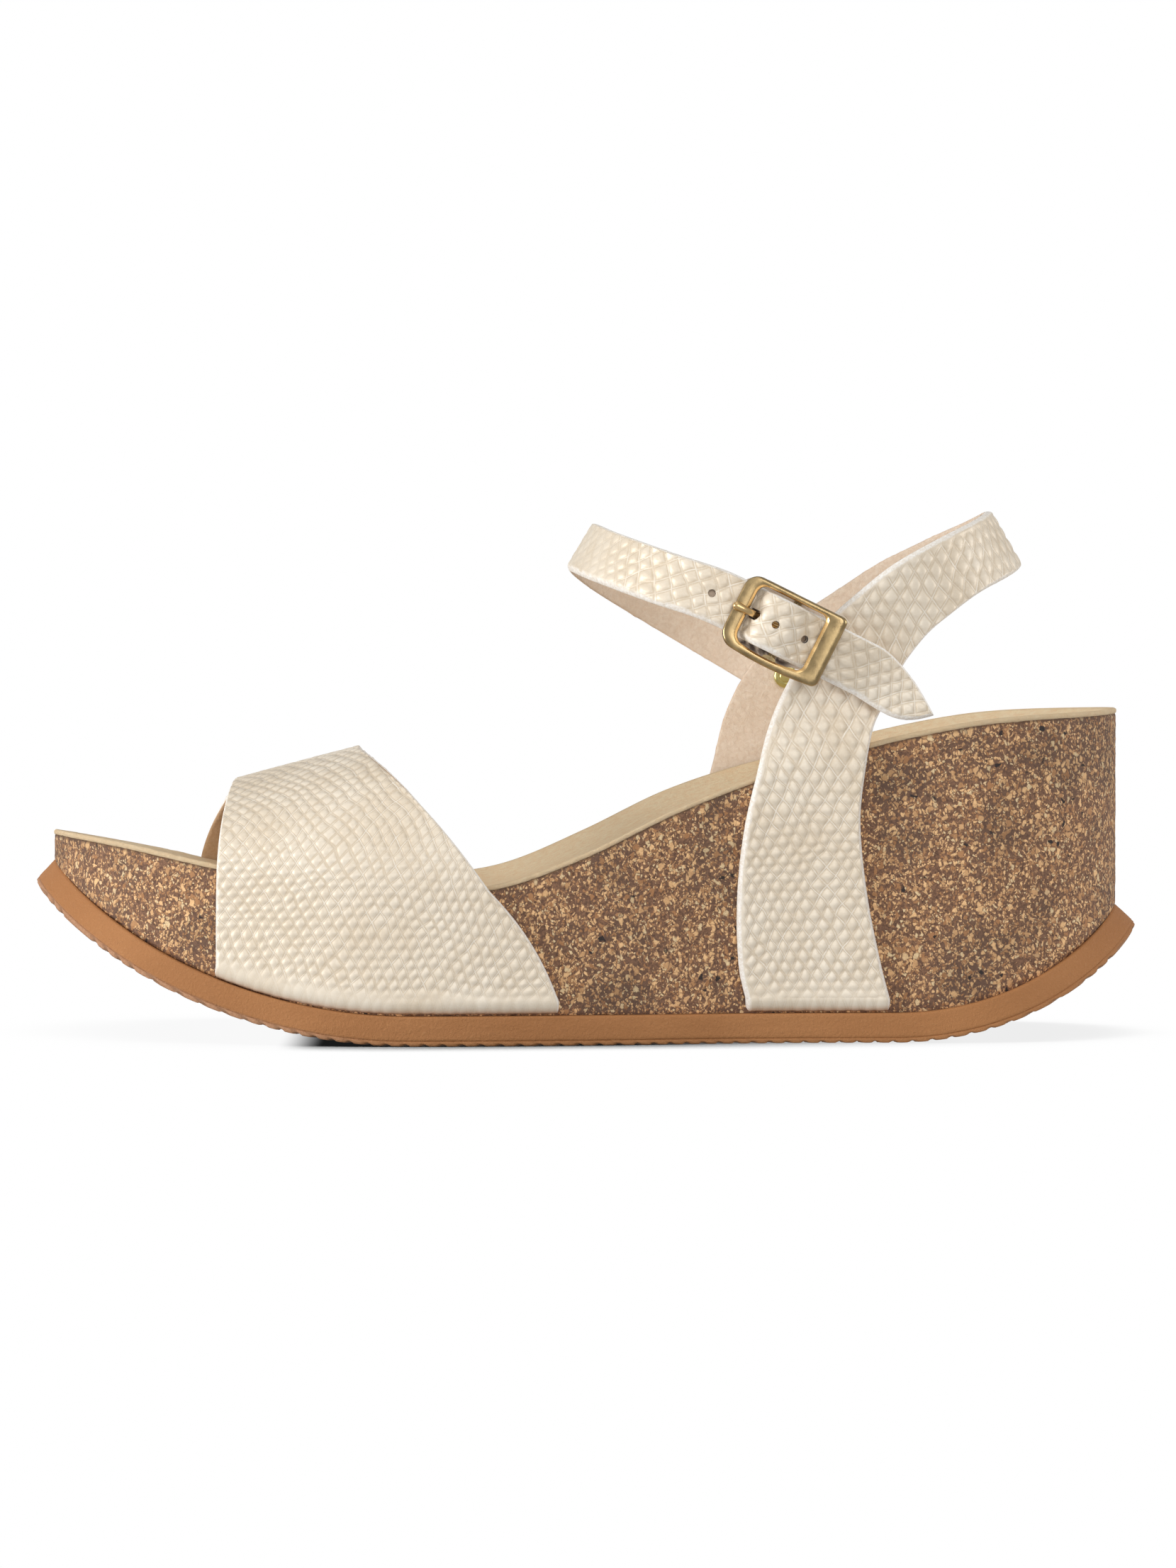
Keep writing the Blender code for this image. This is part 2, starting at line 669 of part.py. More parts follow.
def build_tab(leather, parent):
    """A leather loop round the buckle's bar, its two legs riveted to the heel strap."""
    low = BAR_HEIGHT - TAB_LOOP_RADIUS
    profile = [(TAB_END, low), (8.0, low), (3.0, low)]
    for angle in np.linspace(-math.pi / 2, -1.5 * math.pi, 9):
        loop = TAB_LOOP_RADIUS * np.array((math.cos(angle), math.sin(angle)))
        profile.append((loop[0], BAR_HEIGHT + loop[1]))
    high = low + TAB_LEG_GAP
    for share in np.linspace(0, 1, 6)[1:]:
        drop = smoothstep(share, 0, 1)
        profile.append((6.0 * share, mix(BAR_HEIGHT + TAB_LOOP_RADIUS, high, drop)))
    profile += [(11.0, high), (TAB_END, high)]
    widths = (TAB_HALF_WIDTH, 0.0, -TAB_HALF_WIDTH)
    grid = np.array([[at_buckle(a, w, out) for w in widths] for a, out in profile])
    normals = surface_normals(grid)
    if np.dot(normals[0, 0], OUTWARD) > 0:
        normals = -normals
    tab = add_slab("buckle_tab", grid, grid + TAB_THICK * normals, leather, parent)
    slot = []
    for along in TAB_SLIT_ENDS:
        for side, out in ((-1, 1.0), (1, 1.0), (1, 10.0), (-1, 10.0)):
            slot.append(at_buckle(along, side * TAB_SLIT_HALF_WIDTH, out))
    faces = [[0, 1, 2, 3], [7, 6, 5, 4]]
    faces += [[k, (k + 1) % 4, 4 + (k + 1) % 4, 4 + k] for k in range(4)]
    cut(tab, slot, faces, "tab_slot")
    return tab


def build_guard(leather, parent):
    """The leather backing under the buckle, rounded at its free end."""
    rows = []
    for along in (GUARD_START, -13.4, -12.4, -10.5, -8.0, -3.0, 3.0, 9.0, 13.0, TAB_END):
        reach = min((along - GUARD_START) / GUARD_ROUNDING, 1.0)
        half = mix(GUARD_END_HALF, GUARD_FULL_HALF, math.sqrt(reach * (2 - reach)))
        half = mix(half, GUARD_NECK_HALF, smoothstep(along, -2.0, 12.0))
        rows.append([at_buckle(along, w, GUARD_LEVEL) for w in np.linspace(half, -half, 3)])
    low = np.array(rows)
    return add_slab("buckle_guard", low, low + GUARD_THICK * OUTWARD, leather, parent)


def at_frame(along, across, lift):
    """A point of the buckle frame, whose plane is tilted about its bar."""
    turned_along = along * math.cos(FRAME_TILT) - lift * math.sin(FRAME_TILT)
    out = along * math.sin(FRAME_TILT) + lift * math.cos(FRAME_TILT)
    return at_buckle(turned_along, across, BAR_HEIGHT + out)


def rounded_rectangle(left, right, width, left_radius, right_radius, steps=6):
    """Points round a rectangle with round corners, starting at its right side."""
    corners = (
        (right_radius, right, 1),
        (left_radius, left, 1),
        (left_radius, left, -1),
        (right_radius, right, -1),
    )
    points = []
    for turn, (radius, reach, rise) in enumerate(corners):
        x = reach - radius if reach == right else reach + radius
        y = rise * (width / 2 - radius)
        for angle in np.linspace(turn * math.pi / 2, (turn + 1) * math.pi / 2, steps):
            points.append((x + radius * math.cos(angle), y + radius * math.sin(angle)))
    return points


BEVEL, WINDOW_BEVEL = 0.6, 0.4
OUTSIDE_RADII, FACE_OUTSIDE_RADII = (3.4, 1.4), (3.0, 1.2)
FACE_INSIDE_RADII, WINDOW_RADII = (2.4, 1.6), (2.1, 1.4)
LUG_HALF_LENGTH, LUG_INSIDE, LUG_OUTSIDE, LUG_BITE = 1.3, 7.0, 8.2, 0.8
BAR_HALF_LENGTH = 7.6


def build_frame(brass, parent):
    """A rectangular frame with bevelled bars, and a bar across its middle."""
    half = FRAME_LENGTH / 2
    top = FRAME_LIFT + FRAME_THICK
    outside = rounded_rectangle(-half, half, FRAME_WIDTH, *OUTSIDE_RADII)
    face_outside = rounded_rectangle(
        -half + BEVEL, half - 2 * BEVEL, FRAME_WIDTH - BEVEL, *FACE_OUTSIDE_RADII
    )
    face_inside = rounded_rectangle(
        WINDOW_LEFT - WINDOW_BEVEL,
        WINDOW_RIGHT + WINDOW_BEVEL,
        WINDOW_WIDTH + BEVEL,
        *FACE_INSIDE_RADII,
    )
    window = rounded_rectangle(WINDOW_LEFT, WINDOW_RIGHT, WINDOW_WIDTH, *WINDOW_RADII)
    rings = (
        (outside, FRAME_LIFT),
        (outside, top - 2 * BEVEL),
        (face_outside, top),
        (face_inside, top),
        (window, top - BEVEL),
        (window, FRAME_LIFT),
    )
    points = [at_frame(x, y, lift) for outline, lift in rings for x, y in outline]
    size = len(rings[0][0])
    faces = []
    for ring in range(len(rings)):
        for i in range(size):
            here = ring * size + i
            there = ring * size + (i + 1) % size
            above = ((ring + 1) % len(rings)) * size
            faces.append([here, there, above + (i + 1) % size, above + i])
    frame = add_mesh("buckle_frame", points, faces, brass, parent)
    for side in (-1, 1):
        lug = []
        for lift in (-BAR_RADIUS, FRAME_LIFT + LUG_BITE):
            for end, across in ((-1, LUG_INSIDE), (1, LUG_INSIDE), (1, LUG_OUTSIDE), (-1, LUG_OUTSIDE)):
                lug.append(at_frame(end * LUG_HALF_LENGTH, side * across, lift))
        faces = [[0, 1, 2, 3], [7, 6, 5, 4]]
        faces += [[k, (k + 1) % 4, 4 + (k + 1) % 4, 4 + k] for k in range(4)]
        join(frame, lug, faces, f"lug_{'low' if side < 0 else 'high'}")
    end = BAR_HALF_LENGTH
    profile = [(-end, 0.0), (-end, BAR_RADIUS), (end, BAR_RADIUS), (end, 0.0)]
    points, faces = turned(BAR_AXIS_POINT, ACROSS, profile, 12)
    join(frame, points, faces, "centre_bar")
    return frame


def join(target, points, faces, name):
    other = add_mesh(name, points, faces, None)
    other.hide_render = True
    other.display_type = "WIRE"
    boolean = target.modifiers.new(name, "BOOLEAN")
    boolean.operation = "UNION"
    boolean.solver = "EXACT"
    boolean.object = other


EYE_START, EYE_END = 195, 440  # degrees round the bar that the prong's eye covers
PRONG_WIRE_RADIUS = 0.5


def build_prong(brass, parent):
    """A wire wound round the bar, then up through the strap and over the left bar."""
    path = []
    for angle in np.linspace(math.radians(EYE_START), math.radians(EYE_END), 12):
        loop = PRONG_EYE_RADIUS * np.array((math.cos(angle), math.sin(angle)))
        path.append((loop[0], BAR_HEIGHT + loop[1], PRONG_WIRE_RADIUS))
    path += [(-1.2, 7.15, 0.6), (-3.2, 6.8, 0.75), (-5.0, 6.7, PRONG_RADIUS)]
    path += [(-6.6, 7.3, PRONG_RADIUS), (-7.9, 8.7, PRONG_RADIUS), (-9.1, 10.0, PRONG_RADIUS)]
    path += [(-10.6, 10.5, PRONG_RADIUS), (-12.4, 10.45, 0.95), (-13.2, 10.4, 0.5)]
    steps = 8
    points = []
    places = np.array([(a, out) for a, out, _ in path])
    tangents = np.gradient(places, axis=0)
    tangents /= np.linalg.norm(tangents, axis=1, keepdims=True)
    for (along, out, radius), (ta, to) in zip(path, tangents):
        for angle in np.linspace(0, 2 * math.pi, steps + 1)[:-1]:
            side = radius * math.cos(angle)
            points.append(
                at_buckle(along - to * side, radius * math.sin(angle), out + ta * side)
            )
    faces = [list(range(steps)), [len(points) - 1 - k for k in range(steps)]]
    for i in range(len(path) - 1):
        for k in range(steps):
            here = i * steps + k
            there = i * steps + (k + 1) % steps
            faces.append([here, there, there + steps, here + steps])
    return add_mesh("buckle_prong", points, faces, brass, parent)


# ---------------------------------------------------------------- rivets


def build_rivet(name, place, side, stack, brass):
    """A post with a flat head inside the strap, and the cap pressed on outside."""
    inner = np.array((place[0], side * LOOP_HALF_WIDTH, place[1]))
    axis = np.array((0.0, side, 0.0))
    head = RIVET_HEAD_RADIUS
    post = RIVET_POST_RADIUS
    back = -GAP - RIVET_HEAD_THICK
    profile = [(back, 0.0), (back, head - 0.5), (back + 0.4, head), (-GAP, head)]
    profile += [(-GAP, post), (stack - 0.05, post), (stack - 0.05, 0.0)]
    add_mesh(f"{name}_post", *turned(inner, axis, profile, 16), brass)
    profile = [(stack + 0.25, 0.0), (stack + 0.25, post + GAP), (stack, post + GAP), (stack, head)]
    profile += [(stack + 0.3, head), (stack + 0.6, head - 0.7), (stack + CAP_RISE, 0.0)]
    add_mesh(f"{name}_cap", *turned(inner, axis, profile, 16), brass)


def main():
    clear_scene()
    leather = material("embossed leather", (0.72, 0.66, 0.54), 0.35)
    felt = material("felt lining", (0.75, 0.62, 0.50), 0.95)
    suede = material("suede cover", (0.60, 0.44, 0.26), 0.9)
    cork_look = material("cork", (0.30, 0.17, 0.09), 0.85)
    rubber = material("foam rubber", (0.55, 0.25, 0.08), 0.7)
    brass = material("antique brass", (0.55, 0.37, 0.16), 0.3, 1.0)

    build_outsole(rubber)
    build_cork(cork_look)
    build_cover(suede)
    build_vamp(leather, felt)
    heel_strap = build_heel_strap(leather, felt)

    swing = add_empty("ankle_strap_axis", LATERAL_RIVET)
    rock = add_empty("buckle_axis", BAR_AXIS_POINT)
    build_ankle_strap(leather, felt, swing)
    tab = build_tab(leather, swing)
    guard = build_guard(leather, swing)
    build_frame(brass, rock)
    build_prong(brass, rock)

    lateral = (LATERAL_RIVET[0], LATERAL_RIVET[2])
    post_hole = RIVET_POST_RADIUS + RIVET_CLEARANCE
    drill([tab, guard], LATERAL_RIVET, OUTWARD, post_hole, 7.0, "lateral_rivet_hole")
    drill(heel_strap, LATERAL_RIVET, OUTWARD, post_hole, 4.0, "lateral_strap_hole")
    medial = (MEDIAL_RIVET[0], LOOP_HALF_WIDTH, MEDIAL_RIVET[1])
    drill(heel_strap, medial, OUTWARD, post_hole, 4.0, "medial_strap_hole")
    tab_top = BAR_HEIGHT - TAB_LOOP_RADIUS + GAP + TAB_THICK
    build_rivet("lateral_rivet", lateral, -1, tab_top + GAP, brass)
    strap_top = STRAP_STACK + GAP + STRAP_STACK
    build_rivet("medial_rivet", MEDIAL_RIVET, 1, strap_top + 0.45, brass)


main()
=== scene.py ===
"""The looks of the left wedge sandal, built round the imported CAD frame.

Shapes are worked out in millimetres, in the frame's own axes, and written in metres.
Toe at -X, heel at +X, lateral (buckle) side at -Y, +Z up, ground at Z = 0.
"""

import math

import bmesh
import bpy
import numpy as np
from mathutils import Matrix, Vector


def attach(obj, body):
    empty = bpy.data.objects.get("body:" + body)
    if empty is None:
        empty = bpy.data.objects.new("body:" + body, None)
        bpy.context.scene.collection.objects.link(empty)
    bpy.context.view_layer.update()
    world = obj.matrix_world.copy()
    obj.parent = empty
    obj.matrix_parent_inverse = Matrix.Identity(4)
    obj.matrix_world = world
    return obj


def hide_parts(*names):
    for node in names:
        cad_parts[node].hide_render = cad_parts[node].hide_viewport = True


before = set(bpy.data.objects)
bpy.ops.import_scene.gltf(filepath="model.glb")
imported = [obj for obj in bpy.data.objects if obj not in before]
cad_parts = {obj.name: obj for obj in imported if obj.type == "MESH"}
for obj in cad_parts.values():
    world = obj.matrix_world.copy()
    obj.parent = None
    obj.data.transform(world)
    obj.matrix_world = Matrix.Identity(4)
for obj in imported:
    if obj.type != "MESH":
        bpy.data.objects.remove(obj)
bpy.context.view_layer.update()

MM = 0.001

# Sole
TOE_X, HEEL_X = -125.4, 125.3
TOE_ROUND, HEEL_ROUND = 44.0, 36.0
SOLE_THICK = 6.8
SOLE_FLANGE = 2.3
TOE_BEND_X, TOE_BEND_RADIUS = -40.0, 125.0
HEEL_BEND_X, HEEL_BEND_RADIUS = 72.0, 72.4
COVER_THICK = 1.0
ARCH_X, ARCH_REACH, ARCH_RISE = 12.0, 50.0, 2.8
TOE_LEAN, TOE_LEAN_Y = 0.048, -40.0
TOE_LEAN_FULL_X, TOE_LEAN_END_X = -92.0, -58.0

# Leather on its felt, with heights measured outwards from the inner face of a strap
FELT_THICK = 0.6
STACK = 2.1
WALL_GAP = 0.45
MARGIN = 8.0
MARGIN_BEND = 0.65
GAP = 0.3

VAMP_CROWN_Y = 3.0
VAMP_CROWN_X, VAMP_CROWN_Z, VAMP_CROWN_SLOPE = -52.1, 67.8, 0.264
VAMP_FRONT_LATERAL_X, VAMP_FRONT_MEDIAL_X = -84.5, -94.5
VAMP_REAR_FOOT_X, VAMP_MEDIAL_LEAD = -5.8, 6.75
VAMP_FULLNESS = 0.85
VAMP_WALL_SHARE = 0.47

LOOP_X, LOOP_HALF_WIDTH = 60.0, 33.5
LOOP_REACH_TOP, LOOP_REACH_BOTTOM = 33.8, 41.6

STRAP_HALF_WIDTH = 6.35
STRAP_SLOPE = math.radians(26.5)
BAR_CENTRE = (46.1, 95.3)
BAR_HEIGHT, BAR_RADIUS = 5.5, 0.95
LATERAL_RIVET_ALONG = 11.5
MEDIAL_RIVET = (48.6, 83.4)
MEDIAL_SLOPE = math.radians(31.0)
TAIL_TIP, TAPER_START, TIP_START, TAPER_DROP = 39.4, 21.0, 29.0, 8.6
MEDIAL_END, MEDIAL_ROUNDING = 6.0, 5.0
HOLES_ALONG = (-18.7, -11.2, -2.6, 4.4)
HOLE_RADIUS = 0.9
SLOT_ALONG, SLOT_HALF_LENGTH, SLOT_HALF_WIDTH = -6.4, 1.1, 1.25
SLOT_AHEAD, SLOT_BEHIND = 1.2, 1.0
TAB_THICK, TAB_HALF_WIDTH, TAB_END = 0.9, 5.6, 15.5
TAB_LOOP_RADIUS = BAR_RADIUS + 0.2
GUARD_LEVEL, GUARD_THICK = 2.65, 0.75
FRAME_LENGTH, FRAME_WIDTH, FRAME_THICK = 25.2, 17.0, 2.2
WINDOW_LEFT, WINDOW_RIGHT, WINDOW_WIDTH = -9.2, 8.0, 13.9
FRAME_LIFT, FRAME_TILT = 2.75, math.radians(7.4)

ALONG = np.array((math.cos(STRAP_SLOPE), 0.0, -math.sin(STRAP_SLOPE)))
ACROSS = np.array((math.sin(STRAP_SLOPE), 0.0, math.cos(STRAP_SLOPE)))
OUTWARD = np.array((0.0, -1.0, 0.0))
BAR_ORIGIN = np.array((BAR_CENTRE[0], -LOOP_HALF_WIDTH, BAR_CENTRE[1]))
BAR_AXIS_POINT = BAR_ORIGIN + BAR_HEIGHT * OUTWARD
LATERAL_RIVET = BAR_ORIGIN + LATERAL_RIVET_ALONG * ALONG


# ---------------------------------------------------------------- maths


def curve_through(knots, values):
    """A smooth function through the values at the knots; it takes whole arrays."""
    knots = np.asarray(knots, float)
    values = np.asarray(values, float)
    slopes = np.gradient(values, knots, axis=0)
    extra = (1,) * (values.ndim - 1)

    def at(t):
        t = np.clip(np.asarray(t, float), knots[0], knots[-1])
        i = np.clip(np.searchsorted(knots, t, side="right") - 1, 0, len(knots) - 2)
        span = (knots[i + 1] - knots[i]).reshape(t.shape + extra)
        u = (t - knots[i]).reshape(t.shape + extra) / span
        start = (2 * u**3 - 3 * u**2 + 1) * values[i]
        end = (3 * u**2 - 2 * u**3) * values[i + 1]
        bend = (u**3 - 2 * u**2 + u) * slopes[i] + (u**3 - u**2) * slopes[i + 1]
        return start + end + span * bend

    return at


def smoothstep(value, low, high):
    u = np.clip((value - low) / (high - low), 0.0, 1.0)
    return u * u * (3 - 2 * u)


def mix(a, b, share):
    return a + (b - a) * share


def lattice_noise(u, v, seed):
    """Smooth noise from -1 to 1 on the plane, one value at each whole number."""
    iu, iv = np.floor(u).astype(int), np.floor(v).astype(int)
    fu, fv = u - iu, v - iv
    fu, fv = fu * fu * (3 - 2 * fu), fv * fv * (3 - 2 * fv)

    def corner(a, b):
        return 2 * scatter(iu + a, iv + b, seed) - 1

    low = mix(corner(0, 0), corner(1, 0), fu)
    high = mix(corner(0, 1), corner(1, 1), fu)
    return mix(low, high, fv)


def scatter(i, j, seed):
    """A fixed random number from 0 to 1 for each pair of whole numbers."""
    value = np.sin(i * 127.1 + j * 311.7 + seed * 74.7) * 43758.5453
    return value - np.floor(value)


def fractal(u, v, seed, octaves=3):
    total = np.zeros(np.broadcast(u, v).shape)
    for k in range(octaves):
        total += lattice_noise(u * 2**k, v * 2**k, seed + k) / 2**k
    return total


# ---------------------------------------------------------------- meshes


def new_object(name, points, faces, look, marks=None, sharp=50.0):
    """Makes a mesh object from points in millimetres, facing out, with vertex marks."""
    mesh = bpy.data.meshes.new(name)
    mesh.from_pydata((MM * np.asarray(points, float)).tolist(), [], faces)
    shape = bmesh.new()
    shape.from_mesh(mesh)
    bmesh.ops.recalc_face_normals(shape, faces=shape.faces)
    shape.to_mesh(mesh)
    shape.free()
    for mark, values in (marks or {}).items():
        layer = mesh.attributes.new(mark, "FLOAT", "POINT")
        layer.data.foreach_set("value", np.asarray(values, np.float32))
    mesh.shade_smooth()
    mesh.set_sharp_from_angle(angle=math.radians(sharp))
    mesh.materials.append(look)
    obj = bpy.data.objects.new(name, mesh)
    bpy.context.collection.objects.link(obj)
    return obj


def place(obj, body, slot, *nodes):
    """Gives a piece its body and hides the CAD nodes that it stands for; the slot is not used."""
    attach(obj, body)
    if nodes:
        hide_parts(*nodes)


def grid_faces(rows, columns, start=0, closed=False):
    """The faces between rows of points; closed joins the last column to the first."""
    faces = []
    last = columns if closed else columns - 1
    for i in range(rows - 1):
        here = start + i * columns
        for j in range(last):
            k = (j + 1) % columns
            faces.append((here + j, here + k, here + columns + k, here + columns + j))
    return faces


def capped_rings(rings):
    """Points and faces of a closed skin through rings of points, with flat ends."""
    points = np.reshape(rings, (-1, 3))
    size = len(rings[0])
    faces = grid_faces(len(rings), size, closed=True)
    faces.append(tuple(range(size)))
    faces.append(tuple(range(len(points) - 1, len(points) - size - 1, -1)))
    return points, faces


def sheet_object(name, top, bottom, stride, look, marks):
    """A closed sheet: a fine top grid, and a bottom grid with every stride-th point."""
    rows, columns = top.shape[:2]
    low = bottom[::stride, ::stride]
    low_rows, low_columns = low.shape[:2]
    count = rows * columns
    faces = grid_faces(rows, columns) + grid_faces(low_rows, low_columns, count)

    def under(i, j):
        return count + (i // stride) * low_columns + j // stride

    for i in range(0, rows - 1, stride):
        for j in (0, columns - 1):
            border = [(i + k) * columns + j for k in range(stride, -1, -1)]
            faces.append((under(i, j), under(i + stride, j), *border))
    for j in range(0, columns - 1, stride):
        for i in (0, rows - 1):
            border = [i * columns + j + k for k in range(stride, -1, -1)]
            faces.append((under(i, j), under(i, j + stride), *border))
    points = np.concatenate([top.reshape(-1, 3), low.reshape(-1, 3)])
    padded = {
        mark: np.concatenate([values.ravel(), np.full(low_rows * low_columns, rest)])
        for mark, (values, rest) in marks.items()
    }
    return new_object(name, points, faces, look, padded)


def resample(grid, axis, shares):
    """The grid at new shares, 0 to 1, of its mean length along one axis."""
    moved = np.moveaxis(grid, axis, 0)
    steps = np.linalg.norm(np.diff(moved, axis=0), axis=2).mean(axis=1)
    lengths = np.concatenate([[0], np.cumsum(np.maximum(steps, 1e-6))])
    made = curve_through(lengths, moved)(np.asarray(shares) * lengths[-1])
    return np.moveaxis(made, 0, axis)


def mean_length(grid, axis):
    return np.linalg.norm(np.diff(grid, axis=axis), axis=2).sum(axis=axis).mean()


CLOSE_ROWS = (0, 0.08, 0.2, 0.4, 0.65)  # places of the rows within a sheet's cut edge
EDGE = 1.4


def spread_shares(length, step, stride, edge):
    """Even shares along a sheet, with closer ones near both of its cut edges."""
    edge_share = edge / length
    close = np.array(CLOSE_ROWS) * edge_share
    inner = int((length - 2 * edge) / step)
    inner += -(inner + 2 * len(close)) % stride
    middle = np.linspace(edge_share, 1 - edge_share, inner + 1)
    return np.concatenate([close, middle, 1 - close[::-1]])


def refined(grid, step, stride, edge=EDGE):
    """The sheet in even steps, with closer ones at its edges, and its normals."""
    rows, columns = (spread_shares(mean_length(grid, axis), step, stride, edge) for axis in (0, 1))
    fine = resample(resample(grid, 0, rows), 1, columns)
    return fine, normals_of(fine)


def rounding(nearest, reach, depth):
    """How far a face drops towards its edges, as a quarter circle."""
    return depth * (1 - np.sin(np.clip(nearest / reach, 0, 1) * math.pi / 2))


def normals_of(grid):
    down = np.gradient(grid, axis=0)
    across = np.gradient(grid, axis=1)
    normals = np.cross(across, down)
    return normals / np.maximum(np.linalg.norm(normals, axis=2, keepdims=True), 1e-9)


def edge_distances(grid):
    """Distance of each point from the sheet's first and last row and column."""
    found = []
    for axis in (0, 1):
        steps = np.linalg.norm(np.diff(grid, axis=axis), axis=2)
        run = np.cumsum(steps, axis=axis)
        zero = np.zeros_like(np.take(run, [0], axis=axis))
        run = np.concatenate([zero, run], axis=axis)
        found += [run, np.take(run, [-1], axis=axis) - run]
    return found


def nearest_edge(grid):
    return np.minimum.reduce(edge_distances(grid))


# ---------------------------------------------------------------- lizard emboss


ROW_RATIO = 1.5  # height of a scale's rhomb, in scale widths
NET_SLOPE = math.hypot(1.0, 1.0 / ROW_RATIO)


def print_chart(u, v, pitch, lean, seed):
    """Where each point lies on the lattice of scales, in scale widths and row pairs."""
    c, s = math.cos(lean), math.sin(lean)
    a = (u * c + v * s) / pitch
    b = (v * c - u * s) / (pitch * ROW_RATIO)
    for reach, amount in ((15.0, 0.30), (5.0, 0.15), (2.4, 0.07)):
        a = a + amount * lattice_noise(u / reach, v / reach, seed)
        b = b + 0.7 * amount * lattice_noise(u / reach + 7, v / reach, seed + 1)
        seed += 2
    return a, b


def scale_distances(a, b):
    """Distances from a scale's centre and from the slanting net round it, in scale widths."""
    across, along = np.abs(a - np.round(a)), np.abs(b - np.round(b))
    other = across + along > 0.5
    across, along = np.where(other, 0.5 - across, across), np.where(other, 0.5 - along, along)
    return np.hypot(across, ROW_RATIO * along), (0.5 - across - along) / NET_SLOPE


EMBOSS = 0.34  # depth of the print
EMBOSS_LEVEL = 0.62  # share of that depth that the leather between the domes sinks by
SKIN_SINK = 0.10  # leather's highest level, under the top of its stack
FUZZ = 0.12  # raggedness of a cut edge


def embossed(a, b):
    """Height of the printed scales: low round domes with a thin ridge between them."""
    near, border = scale_distances(a, b)
    dome = 0.3 * smoothstep(border, 0.02, 0.15) + 0.7 * (1 - smoothstep(near, 0.14, 0.42))
    ridge = 0.15 * np.exp(-((border / 0.035) ** 2))
    return dome + ridge


def leather_sheet(name, grid, chart, bevels, pattern, look, step, fade, dents=(), stride=6):
    """Embossed leather on a surface given by its inner face, with bevelled cut edges.

    chart gives the flat (u, v) of a point on the sheet; bevels are the widths of the cut
    at the first and last row and at the first and last column; pattern is the width, the
    lean and the seed of the scales; fade tells how much of the print shows.
    """
    fine, normals = refined(grid, step, stride)
    u, v = chart(fine)
    pitch, lean, seed = pattern
    a, b = print_chart(u, v, pitch, math.radians(lean), seed)
    shown = fade(fine)
    rise, cut = np.ones(u.shape), np.zeros(u.shape)
    ragged = FUZZ * lattice_noise(u / 1.3, v / 1.3, seed + 40)
    for distance, bevel in zip(edge_distances(fine), bevels):
        share = np.clip(distance / bevel, 0, 1)
        rise = np.minimum(rise, np.sin(share * math.pi / 2) ** 0.8)
        line = distance + ragged * bevel
        cut = np.maximum(cut, 1 - smoothstep(line, bevel * 0.70, bevel * 0.95))
    level = STACK - SKIN_SINK + EMBOSS * shown * (embossed(a, b) * (1 - cut) - EMBOSS_LEVEL)
    level += 0.04 * fractal(u / 6, v / 6, seed + 20)
    level += 0.07 * lattice_noise(u / 0.7, v / 0.7, seed + 30) * cut
    for centre, radius, depth in dents:
        away = np.linalg.norm(fine - centre, axis=2)
        level -= depth * np.exp(-((away / radius) ** 4))
    low = FELT_THICK + 0.12
    top = fine + (low + (level - low) * rise)[..., None] * normals
    bottom = fine + (FELT_THICK + 0.02) * normals
    marks = {"cut": (cut, 1), "cell_a": (a, 0), "cell_b": (b, 0), "print": (shown, 0)}
    return sheet_object(name, top, bottom, stride, look, marks)


def felt_sheet(name, grid, chart, seed, look, step, stride=4):
    """The felt on the inner face, with a soft uneven surface and ragged edges."""
    fine, normals = refined(grid, step, stride)
    u, v = chart(fine)
    nearest = nearest_edge(fine)
    fuzz = 0.05 * fractal(u / 1.1, v / 1.1, seed) + 0.03 * lattice_noise(u / 0.4, v / 0.4, seed + 4)
    face = fine + (fuzz + rounding(nearest, 0.5, 0.22))[..., None] * normals
    fringe = FUZZ * (fractal(u / 0.9, v / 0.9, seed + 8) - 0.4) * np.exp(-nearest / 0.25)
    middle = fine.mean(axis=1, keepdims=True)
    outward = fine - middle
    outward /= np.maximum(np.linalg.norm(outward, axis=2, keepdims=True), 1e-6)
    face = face + fringe[..., None] * outward
    back = fine + FELT_THICK * normals
    return sheet_object(name, face, back, stride, look, {"edge": (nearest, 0)})


# ---------------------------------------------------------------- materials


